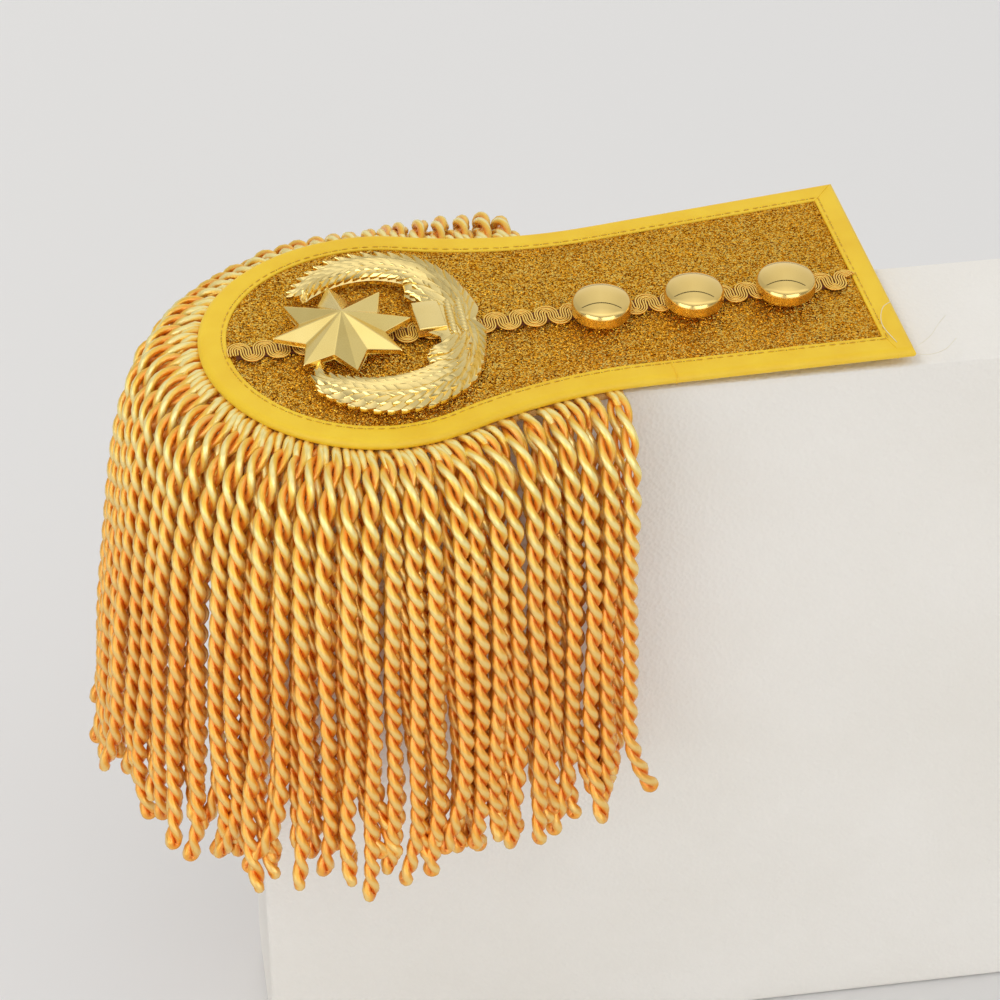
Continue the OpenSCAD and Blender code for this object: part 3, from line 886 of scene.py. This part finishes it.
def scroll_line(start, end):
    """Middle line of the braid's winding ribbon: legs across, joined by half circles."""
    halves = int(round((end - start) / (BRAID_PITCH / 2)))
    turn_r = (end - start) / halves / 2
    points = []
    for i in range(halves):
        side = 1 if i % 2 == 0 else -1
        u = start + 2 * turn_r * i
        for v in np.linspace(-side * BRAID_LEG / 2, side * BRAID_LEG / 2, 4)[:-1]:
            points.append([u, v])
        for a in np.linspace(180, 0, 10)[:-1]:
            points.append([u + turn_r + turn_r * cos(a), side * (BRAID_LEG / 2 + turn_r * sin(a))])
    return np.array(points)


def on_braid(points):
    """Turns points from the braid's own line into the board's frame."""
    return np.stack([points[:, 0] * cos(BRAID_TURN) - points[:, 1] * sin(BRAID_TURN),
                     BRAID_SHIFT + points[:, 0] * sin(BRAID_TURN) + points[:, 1] * cos(BRAID_TURN),
                     points[:, 2]], -1)


def braid():
    """Ribbon of fine cords laid in scrolls along the board's middle."""
    start, end = BRAID_START, BOARD_L - BIND_W - BRAID_END_GAP
    line = scroll_line(start, end)
    along = unit(np.gradient(line, axis=0))
    side = np.stack([-along[:, 1], along[:, 0]], -1)
    run = lengths_along(line)
    shape = Shape()
    for k in range(BRAID_CORDS):
        offset = (k - (BRAID_CORDS - 1) / 2) * BRAID_CORD_GAP
        path = line + side * (offset + waves(run, SEED + k, (3.1, 7.7), BRAID_UNEVEN))[:, None]
        height = BRAID_Z + BRAID_T / 2 - BRAID_CORD_STEP * k
        height = height + waves(run, SEED + 9 + k, (4.2, 9.1), 2 * BRAID_UNEVEN)
        turned = on_braid(np.concatenate([path, height[:, None]], 1))
        add_tube(shape, turned, BRAID_CORD_R, 8, 1.0, np.tile([0, 0, -1.0], (len(turned), 1)))
    make_piece("scroll_braid", shape, BRAID, "braid")
    # A near-black strip under the cords, whose colour is painted shade in the gaps between them
    base = Shape()
    u = np.arange(start + 0.6, line[-1, 0] - 1.4, BRAID_BASE_STEP)
    swing = 0.5 - 0.5 * np.cos(2 * np.pi * (u - start - BRAID_PITCH / 4) / BRAID_PITCH)
    low, high = [edge - BRAID_BASE_SWING * swing for edge in BRAID_BASE_SPAN]
    foot, top = BRAID_Z, BRAID_Z + BRAID_BASE_T
    rings = []
    for x, a, b in zip(u, low, high):
        rings.append(on_braid(np.array([[x, a, foot], [x, b, foot], [x, b, top], [x, a, top]])))
    add_loft(base, rings)
    make_piece("braid_shade_base", base, BRAID_SHADE_BASE, "braid", 40)


# Wreath, star and buttons

# Columns: angle from the tie, reach of the leaf tips, inner edge of the far branch and inner edge of
# the near branch as shares of the wreath's radius, rise as a share of the branch's rise
WREATH_SHAPE = np.array([
    [0, 0.83, 0.31, 0.31, 0.3], [12, 0.83, 0.36, 0.36, 0.45], [20, 0.84, 0.49, 0.49, 0.6],
    [32, 0.87, 0.53, 0.53, 0.85], [42, 0.91, 0.47, 0.47, 0.9], [52, 0.95, 0.49, 0.50, 1.0],
    [60, 0.98, 0.63, 0.60, 1.0], [80, 1.00, 0.65, 0.59, 1.0], [100, 0.98, 0.65, 0.59, 1.0],
    [118, 0.91, 0.65, 0.60, 1.0], [132, 0.84, 0.66, 0.62, 0.7]])
WREATH_END = WREATH_SHAPE[-1, 0]
LEAF_END = WREATH_END + 5

# Profile across a branch. Columns: place from the inner edge to the outer one, share of the rise
BRANCH_PROFILE = np.array([[0.0, 0.12], [0.04, 0.3], [0.12, 0.58], [0.2, 0.77], [0.32, 0.93], [0.45, 1.0],
                           [0.58, 0.92], [0.72, 0.74], [0.86, 0.42], [0.97, 0.1], [1.0, 0.0]])

# Rows of leaves. Columns: place of the tips, turn outwards, step along the branch, size
LEAF_ROWS = [(0.02, -30, 0.25, 0.8), (0.20, -17, 0.75, 0.9), (0.40, -4, 0.25, 1.0), (0.61, 8, 0.75, 1.0),
             (0.82, 19, 0.25, 1.0), (1.0, 29, 0.75, 1.0)]

# Leaves at the near branch's end, which curls in under the star. Columns: angle, radius, turn, size
NEAR_SPRIG = [(142, 24.6, 6, 1.0), (143.5, 22.6, -12, 1.0), (146, 20.4, -30, 1.0), (149, 18.4, -42, 1.05),
              (154, 16.4, -52, 1.1)]

# A leaf's half width along it from root to tip, as shares
LEAF_FORM = np.array([[0, 0.42], [0.2, 0.85], [0.45, 1.0], [0.7, 0.86], [0.88, 0.48], [1, 0.05]])

# A leaf across. Columns: place as a share of its half width, share of its rise
LEAF_CROWN = np.array([[-1, 0], [-1, 0.08], [-0.55, 0.6], [0, 1.0], [0.55, 0.6], [1, 0.08], [1, 0]])

# The tie's rounded upper edges. Columns: depth below its top, share of its slope, further inset
TIE_EDGE = [(0.35, 0.85, 0.0), (0.1, 1.0, 0.1), (0.0, 1.0, 0.35)]


def wreath_edges(angle, side):
    """Reach of the leaf tips and the inner edge at an angle, on the far (1) or near (-1) branch."""
    outer = np.interp(angle, WREATH_SHAPE[:, 0], WREATH_SHAPE[:, 1]) * WREATH_R
    inner = np.interp(angle, WREATH_SHAPE[:, 0], WREATH_SHAPE[:, 2 if side > 0 else 3]) * WREATH_R
    return outer, inner


def wreath_height(angle, radius, side):
    """Height of a branch's rounded body above the plate's underside."""
    outer, inner = wreath_edges(angle, side)
    place = (radius - inner) / (outer - LEAF_REACH - inner)
    rise = np.interp(angle, WREATH_SHAPE[:, 0], WREATH_SHAPE[:, 4]) * BRANCH_RISE
    return PLATE_T + rise * np.interp(place, BRANCH_PROFILE[:, 0], BRANCH_PROFILE[:, 1])


def under_star(points):
    """Presses wreath points that lie below the star down to its underside."""
    q = points[..., :2] + WREATH_AT - STAR_AT
    distance = np.linalg.norm(q, axis=-1)
    angle = (np.degrees(np.arctan2(q[..., 1], q[..., 0])) - STAR_TURN + 720) % (2 * STAR_HALF)
    from_tip = np.minimum(angle, 2 * STAR_HALF - angle)
    across = STAR_R * sin(STAR_HALF - from_tip) + STAR_VALLEY_R * sin(from_tip)
    rim = STAR_R * STAR_VALLEY_R * sin(STAR_HALF) / across
    room = np.maximum(0, distance - rim - STAR_CLEAR)
    points[..., 2] = np.minimum(points[..., 2], STAR_Z - BADGE_Z - METAL_GAP + PRESS_SLOPE * room)
    return points


def polar(angle, radius, side, z):
    return np.stack([radius * cos(angle), side * radius * sin(angle), z], -1)


def wreath_body(shape):
    """The plate and the rounded branches on it, in one skin from end to end."""
    rings = []
    for angle in np.concatenate([-np.arange(WREATH_END, 0, -2.0), np.arange(0, WREATH_END + 1, 2.0)]):
        side = 1 if angle >= 0 else -1
        a = abs(angle)
        outer, inner = wreath_edges(a, side)
        outer = outer - LEAF_REACH
        places = BRANCH_PROFILE[::-1, 0]
        r = inner + (outer - inner) * places
        ring = np.concatenate([[[inner, 0.0], [outer, 0.0]],
                               np.stack([r, wreath_height(a, r, side)], -1)])
        rings.append(polar(a, ring[:, 0], side, ring[:, 1]))
    add_loft(shape, under_star(np.array(rings)))


def wreath_leaf(shape, angle, radius, turn, side, size):
    """One ridged leaf by the place of its tip, lying on the branch."""
    t = np.linspace(0, 1, 9)
    back = (1 - t) * LEAF_L * size
    curl = turn + LEAF_CURL * (t - 0.5)
    r_mid = radius - np.cumsum(np.append(0, np.diff(t) * LEAF_L * size * sin(curl[1:])))[::-1]
    a_mid = angle - np.degrees(back * cos(turn) / radius)
    half = 0.5 * LEAF_W * size * np.interp(t, LEAF_FORM[:, 0], LEAF_FORM[:, 1])
    across, crown = LEAF_CROWN.T
    rings = []
    for i in range(len(t)):
        r = r_mid[i] + across * half[i] * cos(turn)
        a = a_mid[i] - np.degrees(across * half[i] * sin(turn) / radius)
        base = wreath_height(np.abs(a), r, side)
        lift = LEAF_LIFT * t[i] ** 1.3 - LEAF_SINK
        z = base + lift + LEAF_RISE * crown * (0.55 + 0.45 * np.sin(np.pi * t[i]))
        for edge in (0, -1):
            z[edge] = max(LEAF_FLOOR, base[edge] - LEAF_SKIRT)
        rings.append(polar(a, r, side, z))
    add_loft(shape, under_star(np.array(rings)), flip=side < 0)


def wreath_tie(shape, at):
    """The bare tie: a block with sloped sides and softly rounded upper edges."""
    height = PLATE_T + TIE_RISE
    rings = []
    for depth, share, inset in [(height, 0, 0)] + TIE_EDGE:
        x, y = [size / 2 - share * TIE_SLOPE - inset for size in (TIE_L, TIE_W)]
        corners = ((-x, -y), (x, -y), (x, y), (-x, y))
        rings.append([[at[0] + u, at[1] + v, height - depth] for u, v in corners])
    add_loft(shape, rings)


def wreath_leaves(shape):
    """Rows of leaves along both branches, and the sprig at the near one's end."""
    pitch = (LEAF_END - LEAF_START) / LEAF_GROUPS
    rng = np.random.default_rng(SEED)
    for side in (1, -1):
        for i in range(LEAF_GROUPS):
            for place, turn, step, size in LEAF_ROWS:
                angle = LEAF_START + (i + 1 - step) * pitch
                if angle <= INNER_START - 55 * max(0, place - 0.2):
                    continue
                outer, inner = wreath_edges(angle, side)
                tip = inner + (outer - inner) * place
                turned = turn + rng.uniform(-3, 3)
                wreath_leaf(shape, angle, tip, turned, side, size * rng.uniform(0.93, 1.05))
    for angle, tip, turn, size in NEAR_SPRIG:
        wreath_leaf(shape, angle, tip, turn, -1, size)


def wreath_stem(shape, at):
    """One rope stem of twisted plies."""
    s = np.linspace(-STEM_L / 2, STEM_L / 2, 57)
    across, up = STEM_TWIST
    radius = STEM_PLY_R * np.interp(np.abs(s), [0, 0.46 * STEM_L, 0.5 * STEM_L], [1, 0.9, 0.5])
    for ply in range(STEM_PLIES):
        turn = 360 * s / STEM_LAY + 360 / STEM_PLIES * ply
        x = at[0] - sin(STEM_TURN) * s + across * cos(turn)
        y = at[1] + cos(STEM_TURN) * s
        add_tube(shape, np.stack([x, y, PLATE_T + STEM_MID + up * sin(turn)], -1), radius, 8)


def add_post(shape, at, w_top):
    """A plain post down through the board."""
    add_tube(shape, [[*at, BOARD_Z], [*at, 0.5 * (BOARD_Z + w_top)], [*at, w_top]], POST_R, 20)


def wreath():
    """Open wreath of two leafy branches with a bare tie, two rope stems and two posts."""
    body, leaves, stems = Shape(), Shape(), Shape()
    wreath_body(body)
    wreath_leaves(leaves)
    tie_u = WREATH_SHAPE[0, 2] * WREATH_R + TIE_L / 2
    wreath_tie(body, (tie_u, TIE_SHIFT))
    for k in range(2):
        wreath_stem(stems, (tie_u + (TIE_L + STEM_GAP) / 2 + k * STEM_GAP, TIE_SHIFT / 3))
    origin = BOARD_AT + np.array([*WREATH_AT, BADGE_Z])
    make_piece("wreath_body", body, BADGE, "wreath", 40, origin)
    make_piece("wreath_leaves", leaves, BADGE, "wreath", 32, origin)
    make_piece("wreath_stems", stems, BADGE, "wreath", 60, origin)
    posts = Shape()
    for side in (-1, 1):
        at = WREATH_AT + WREATH_POST_SHARE * WREATH_R * np.array(
            [cos(WREATH_POST_ANGLE), side * sin(WREATH_POST_ANGLE)])
        add_post(posts, at, BADGE_Z + 0.02)
    make_piece("wreath_posts", posts, BADGE, "wreath", 40)


def star():
    """Eight-pointed faceted star with finely rounded ridges."""
    mesh = bpy.data.meshes.new("star_facets")
    bm = bmesh.new()
    corners = np.arange(2 * STAR_POINTS)
    angles = corners * STAR_HALF + STAR_TURN
    radii = np.where(corners % 2 == 0, STAR_R, STAR_VALLEY_R)
    rim = np.stack([STAR_AT[0] + radii * cos(angles), STAR_AT[1] + radii * sin(angles)], -1)
    low = [bm.verts.new(Vector(((*p, STAR_Z) + BOARD_AT) * MM)) for p in rim]
    high = [bm.verts.new(Vector(((*p, STAR_Z + STAR_RIM_T) + BOARD_AT) * MM)) for p in rim]
    apex = bm.verts.new(Vector(((*STAR_AT, STAR_Z + STAR_RIM_T + STAR_RISE) + BOARD_AT) * MM))
    bm.faces.new(low[::-1])
    for i in corners:
        k = (i + 1) % len(corners)
        bm.faces.new([low[i], low[k], high[k], high[i]])
        bm.faces.new([high[i], high[k], apex])
    bmesh.ops.bevel(bm, geom=bm.edges[:], offset=STAR_BEVEL * MM, segments=2, profile=0.6,
                    affect="EDGES", clamp_overlap=True)
    bmesh.ops.triangulate(bm, faces=[f for f in bm.faces if len(f.verts) > 4])
    bm.to_mesh(mesh)
    bm.free()
    obj = bpy.data.objects.new("star_facets", mesh)
    bpy.context.scene.collection.objects.link(obj)
    finish_piece(obj, STAR_GILT, "star")
    post = Shape()
    add_post(post, STAR_AT, STAR_Z + 0.05)
    make_piece("star_post", post, STAR_GILT, "star", 40)


def button(i):
    """Domed mirror button: a ball's cap, a shoulder, a wall and a rolled foot, with its post."""
    u = BUTTON_U + i * BUTTON_GAP
    at = np.array([u, BRAID_SHIFT + tan(BRAID_TURN) * u - BUTTON_DROP])
    roll = BUTTON_ROLL_R
    profile = [(BUTTON_R - roll, 0.0)]
    profile += [(BUTTON_R - roll + roll * cos(a), roll + roll * sin(a)) for a in np.linspace(-80, 0, 9)]
    profile += [(BUTTON_R, roll + share * WALL_H) for share in (0.35, 0.7)]
    shoulder_x, top = BUTTON_R - SHOULDER_R, roll + WALL_H
    cap_r = (shoulder_x ** 2 + DOME_RISE ** 2 - SHOULDER_R ** 2) / (2 * (DOME_RISE - SHOULDER_R))
    meet = math.degrees(math.atan2(cap_r - DOME_RISE, shoulder_x))
    for a in np.linspace(0, meet, 24):
        profile.append((shoulder_x + SHOULDER_R * cos(a), top + SHOULDER_R * sin(a)))
    for a in np.linspace(meet, 89.8, 22)[1:]:
        profile.append((cap_r * cos(a), top + DOME_RISE - cap_r * (1 - sin(a))))
    turns = np.arange(0, 360, 3.75)
    rings = [[[at[0] + r * cos(a), at[1] + r * sin(a), BADGE_Z + z] for a in turns] for r, z in profile]
    shape = Shape()
    add_loft(shape, rings)
    add_post(shape, at, BADGE_Z + 0.05)
    make_piece(f"button_dome_{i + 1}", shape, MIRROR, f"button_{i + 1}", 40)


# Fringe

# Path from the heading outwards and down. Columns: spring out as a share of the spring, drop as a
# share of the length, thickness as a share of the thickness, lean as a share of the lean
FRINGE_PATH = np.array([[0.38, 0.008, 0.55, 0.00], [0.64, 0.040, 0.80, -0.04], [0.81, 0.105, 0.95, -0.05],
                        [0.91, 0.23, 1.00, 0.11], [0.97, 0.46, 1.00, 0.46], [1.00, 0.74, 1.00, 0.80],
                        [1.00, 0.935, 0.90, 1.00]])

# How deep the back layer's cords lie at least along the path
BACK_DEPTH = np.array([-2.6, -3.1, -2.9, -2.2, -1.6, -1.3, -1.2])

# Length of one turn of a cord at lengths along it
CORD_TURN_RUN = [0, 14, 40, 150]
CORD_TURN_L = [16.5, 17.0, 13.4, 12.6]

# Where along a cord its front ply passes over the back one below the rim
FIRST_CROSSING = 3.3

# How the cords differ round the rim. Columns: place along the rim from its near end to its far end,
# share of the spring, share of the length
FRINGE_RUN = np.array([[0, 0.80, 0.90], [0.06, 0.85, 0.935], [0.17, 0.90, 0.935], [0.25, 0.94, 0.935],
                       [0.34, 0.98, 0.94], [0.46, 1.00, 0.95], [0.56, 1.00, 0.96], [0.68, 0.72, 0.93],
                       [0.83, 0.80, 0.95], [0.89, 1.35, 0.95], [0.96, 1.60, 0.94], [1, 1.25, 0.92]])

NEAR_SWEEP = NECK_TURN - np.degrees(np.arcsin((NECK_MID[0] - FRINGE_END_NEAR) / NECK_R))
FAR_SWEEP = NECK_TURN - np.degrees(np.arcsin((NECK_MID[0] - FRINGE_END_FAR) / NECK_R))
NEAR_LEN = math.radians(NEAR_SWEEP) * NECK_R
HEAD_LEN = math.radians(360 - 2 * NECK_ANGLE) * HEAD_R
RIM_LEN = NEAR_LEN + HEAD_LEN + math.radians(FAR_SWEEP) * NECK_R


def rim_at(share):
    """Place and outward direction of the rim at a share of the fringe's length."""
    s = share * RIM_LEN
    if s < NEAR_LEN:
        a = -NECK_TURN + NEAR_SWEEP - np.degrees(s / NECK_R)
        return neck_point(a, 0, -1), np.array([-sin(a), -cos(a)])
    if s < NEAR_LEN + HEAD_LEN:
        a = 360 - NECK_ANGLE - np.degrees((s - NEAR_LEN) / HEAD_R)
        return head_point(a, 0), np.array([cos(a), sin(a)])
    a = -NECK_TURN + np.degrees((s - NEAR_LEN - HEAD_LEN) / NECK_R)
    return neck_point(a, 0, 1), np.array([-sin(a), cos(a)])


def cord_middle(share, layer, length_share, rng):
    """Middle line of one cord, with the direction along the rim to its right as seen from outside."""
    rim, outward = rim_at(share)
    full = np.interp(share, FRINGE_RUN[:, 0], FRINGE_RUN[:, 1])
    length = FRINGE_L * np.interp(share, FRINGE_RUN[:, 0], FRINGE_RUN[:, 2]) * length_share
    tip_side = max(0.0, -outward[0])
    x = FRINGE_PATH[:, 0] * FRINGE_SPRING * full + FRINGE_PATH[:, 3] * FRINGE_LEAN * tip_side
    z = HEADING_MID - FRINGE_PATH[:, 1] * length
    path = np.stack([x, z], -1)
    ways = unit(np.gradient(path, axis=0))
    ways = np.stack([-ways[:, 1], ways[:, 0]], -1)
    depth = np.maximum(0, FRINGE_PATH[:, 2] * FRINGE_T / 2 - CORD_R) * (layer + rng.uniform(-0.3, 0.3))
    if layer < 0:
        depth = np.minimum(depth, BACK_DEPTH)
    path = path + ways * depth[:, None]
    lead = np.array([[-1.5, HEADING_MID], [2.0, HEADING_MID + 0.25]])
    path[0, 1] += 0.5
    path = smooth_path(np.concatenate([lead, path]), RING_GAP)
    run = lengths_along(path)
    hang = np.clip(run / run[-1], 0, 1)
    seed = int(rng.integers(1 << 30))
    sway = waves(run, seed, (61, 103, 190), SWAY) * hang + rng.normal(0, END_SWAY) * hang ** 3
    swing = waves(run, seed + 1, (57, 97, 170), SWING) * hang + rng.normal(0, END_SWING) * hang ** 4
    tail = np.clip((run - run[-1] + TAIL_L) / TAIL_L, 0, 1) ** 2
    sway = sway + tail * rng.normal(0, TAIL_SWAY)
    swing = swing + tail * rng.uniform(*TAIL_SWING)
    right = np.array([-outward[1], outward[0]])
    flat = rim + outward * (path[:, :1] + swing[:, None]) + right * sway[:, None]
    return np.concatenate([skewed(flat), path[:, 1:]], 1), np.array([*right, 0.0]), run


def cord_plies(middle, right, run, rng):
    """Path of both plies of a cord as one line, with the directions of the cord's middle from it and the
    plies' radius: down one ply, round the looped end, up the other."""
    along = unit(np.gradient(middle, axis=0))
    out = unit(np.cross(along, right))
    beside = np.cross(out, along)
    pitch = np.interp(run, CORD_TURN_RUN, CORD_TURN_L) * rng.uniform(0.94, 1.07)
    turn = np.cumsum(360 * np.gradient(run) / pitch)
    turn = turn - np.interp(FIRST_CROSSING, run, turn) - 90 + rng.uniform(-30, 30)
    end = run[-1]
    spread = np.interp(run, [0, 2, 7, 20, 34, 50, end - 7, end - 4, end - 1, end],
                       [0.95, 1.0, 1.16, 1.28, 1.2, 1.1, 1.05, 0.95, 1.25, 1.1])
    arm = -cos(turn)[:, None] * beside + sin(turn)[:, None] * out
    one = middle + arm * spread[:, None]
    two = middle - arm * spread[:, None]
    loop = []
    inward = []
    for a in np.linspace(20, 160, 8):
        way = arm[-1] * cos(a) + along[-1] * 1.2 * sin(a)
        loop.append(middle[-1] + spread[-1] * way)
        inward.append(-way)
    radius = PLY_R * np.interp(run, [0, 4, 10, 40, end - 7, end - 4, end],
                               [0.80, 0.82, 0.86, 1.0, 1.0, 0.95, 1.12])
    radius = np.concatenate([radius, np.full(len(loop), radius[-1]), radius[::-1]])
    return np.concatenate([one, loop, two[::-1]]), np.concatenate([-arm, inward, arm[::-1]]), radius


def cord_places():
    """Place, layer and share of the length of every cord, so that the hanging cords are evenly spaced."""
    shares = np.linspace(0, 1, 400)
    ends = []
    for share in shares:
        rim, outward = rim_at(share)
        full = np.interp(share, FRINGE_RUN[:, 0], FRINGE_RUN[:, 1])
        ends.append(rim + outward * FRINGE_SPRING * full)
    run = lengths_along(np.array(ends))
    rng = np.random.default_rng(SEED)
    places = []
    front = int(round(run[-1] / CORD_SPACING))
    for layer, start, count in ((1, 0.25, front), (-1, 0.7, int(1.35 * front))):
        stations = (np.arange(count) + start) / count * run[-1] + rng.normal(0, 0.4, count)
        for share in np.interp(stations, run, shares):
            length = rng.uniform(0.92, 1.0) if layer > 0 else rng.uniform(0.88, 0.97)
            if rng.random() < 0.08:
                length += 0.035
            places.append((share, layer, length))
    return sorted(places)


def heading():
    """The band under the rim that holds the cords, with bevelled edges."""
    inner, outer = HEADING_ACROSS
    low, high = HEADING_UP
    a, b = HEADING_ROUND
    section = np.array([[inner, high - b], [inner, low + b], [inner + a, low], [outer - a, low],
                        [outer, low + b], [outer, high - b], [outer - a, high], [inner + a, high]])
    rings = []
    for share in np.linspace(0, 1, 160):
        rim, outward = rim_at(share)
        rings.append(np.concatenate([skewed(rim + outward * section[:, :1]), section[:, 1:]], 1))
    shape = Shape()
    add_loft(shape, rings)
    make_piece("fringe_heading", shape, HEADING, "fringe", 40)


def fringe():
    """Two layers of twisted cords with looped ends, and the heading that holds them."""
    rng = np.random.default_rng(SEED + 5)
    shape, pieces = Shape(), 0
    places = cord_places()
    for k, (share, layer, length) in enumerate(places):
        middle, right, run = cord_middle(share, layer, length, rng)
        path, inward, radius = cord_plies(middle, right, run, rng)
        add_tube(shape, path, radius, PLY_SIDES, PLY_FLAT, inward)
        if (k + 1) % PIECE_CORDS == 0 or k == len(places) - 1:
            pieces += 1
            make_piece(f"fringe_cords_{pieces}", shape, CORD, "fringe")
            shape = Shape()
    heading()


# Stage

def area_light(name, at, target, size, power):
    data = bpy.data.lights.new(name, "AREA")
    data.shape = "RECTANGLE"
    data.size, data.size_y = size
    data.energy = power
    data.color = LIGHT_COLOUR
    obj = bpy.data.objects.new(name, data)
    obj.location = at
    obj.rotation_mode = "QUATERNION"
    obj.rotation_quaternion = (Vector(target) - Vector(at)).to_track_quat("-Z", "Y")
    bpy.context.scene.collection.objects.link(obj)
    return obj


# Lights. Columns: name, angle to the right of the camera, elevation, distance in metres, width,
# height, power in watts, whether it lights dull surfaces, whether shiny ones mirror it
LIGHTS = [("window_left", -36, 14, 1.9, 1.5, 1.2, 11, False, True),
          ("window_right", 25, 14, 1.9, 1.5, 1.2, 11, False, True),
          ("fill_left", -34, 5, 1.9, 1.3, 0.9, 4.4, True, False),
          ("fill_right", 24, 5, 1.9, 1.3, 0.9, 6.2, True, False),
          ("key", -118, 55, 2.0, 0.6, 0.6, 8.0, True, False)]

LIGHT_COLOUR = (1.0, 0.985, 0.96)

# Floor in metres: half its side and its height
FLOOR_HALF = 4.0
FLOOR_Z = -0.0005

# Brightness of the room from the horizon in front (0) over the zenith (90) to the horizon behind (180)
ROOM = [(0, 0.38), (28, 0.40), (42, 0.62), (52, 0.98), (62, 1.20), (76, 1.26), (87, 1.0), (99, 0.80),
        (144, 0.83), (180, 0.88)]

# Brightness of the room from its left wall (-1) to its right one (1)
ROOM_SIDES = [(-1, 0.60), (-0.7, 0.66), (-0.3, 0.9), (0, 1.0), (0.2, 0.97), (0.45, 0.86), (0.8, 0.80),
              (1, 0.7)]

# Thin dark gap in the ceiling: direction, half width in degrees, half length as a share, brightness
ROOM_GAP = (113, 1.3, 0.6, 0.12)

ROOM_TINT = (1.0, 0.995, 0.985)


def studio_world():
    """A pale room: bright ceiling with a thin dark gap, and dimmer walls."""
    world = bpy.data.worlds.new("studio")
    world.use_nodes = True
    nodes = Nodes(world.node_tree)
    direction = nodes.node("ShaderNodeTexCoord").outputs["Generated"]

    def towards(way):
        return nodes.math("DOT_PRODUCT", direction, way, vector=True)

    def brightness(value, stops, low, high):
        places = [(place - low) / (high - low) for place, _ in stops]
        tones = [tuple(light * tint for tint in ROOM_TINT) for _, light in stops]
        return nodes.ramp(value, list(zip(places, tones)))

    side = towards((cos(AZIMUTH), -sin(AZIMUTH), 0))
    angle = nodes.math("ARCTAN2", towards((0, 0, 1)), towards((-sin(AZIMUTH), -cos(AZIMUTH), 0)))
    arc = brightness(nodes.spread(angle, 0, 1, 0, math.pi), ROOM, 0, 180)
    walls = brightness(nodes.spread(side, 0, 1, -1, 1), ROOM_SIDES, -1, 1)
    at, half_width, half_length, dark = ROOM_GAP
    in_gap = nodes.math("MULTIPLY", nodes.math("COMPARE", angle, math.radians(at), math.radians(half_width)),
                        nodes.math("COMPARE", side, 0.0, half_length))
    strength = nodes.math("MULTIPLY", walls, nodes.math("MULTIPLY_ADD", in_gap, dark - 1, 1.0))
    background = nodes.tree.nodes["Background"]
    nodes.link(arc, background.inputs["Color"])
    nodes.link(strength, background.inputs["Strength"])
    bpy.context.scene.world = world


def stage():
    mesh = bpy.data.meshes.new("floor")
    s = FLOOR_HALF
    corners = [(x, y, FLOOR_Z) for x, y in ((-s, -s), (s, -s), (s, s), (-s, s))]
    mesh.from_pydata(corners, [], [[0, 1, 2, 3]])
    floor = bpy.data.objects.new("floor", mesh)
    floor.data.materials.append(floor_look())
    bpy.context.scene.collection.objects.link(floor)
    studio_world()
    front = np.array([-sin(AZIMUTH), -cos(AZIMUTH), 0])
    right = np.array([cos(AZIMUTH), -sin(AZIMUTH), 0])
    middle = np.array([-0.05, 0.0, 0.2])
    for name, turn, rise, far, width, height, power, dull, shiny in LIGHTS:
        flat = front * cos(turn) + right * sin(turn)
        at = middle + far * (flat * cos(rise) + np.array([0, 0, sin(rise)]))
        light = area_light(name, at, middle, (width, height), power)
        light.visible_diffuse = dull
        light.visible_glossy = shiny
    bpy.context.scene.view_settings.view_transform = "Standard"


def camera():
    forward = np.array([sin(AZIMUTH) * cos(ELEVATION), cos(AZIMUTH) * cos(ELEVATION), -sin(ELEVATION)])
    right = np.array([cos(AZIMUTH), -sin(AZIMUTH), 0.0])
    up = np.cross(right, forward)
    at = (LOOK_AT - forward * LOOK_DISTANCE) * MM
    data = bpy.data.cameras.new("camera")
    data.lens = LENS
    data.sensor_width = SENSOR
    data.clip_start = 0.05
    data.clip_end = 20
    obj = bpy.data.objects.new("camera", data)
    rows = [[right[k], up[k], -forward[k], at[k]] for k in range(3)]
    obj.matrix_world = Matrix(rows + [[0, 0, 0, 1]])
    bpy.context.scene.collection.objects.link(obj)
    bpy.context.scene.camera = obj


camera()
stage()
display_block()
board()
binding()
stitches()
seams()
loose_threads()
braid()
wreath()
star()
for i in range(3):
    button(i)
fringe()
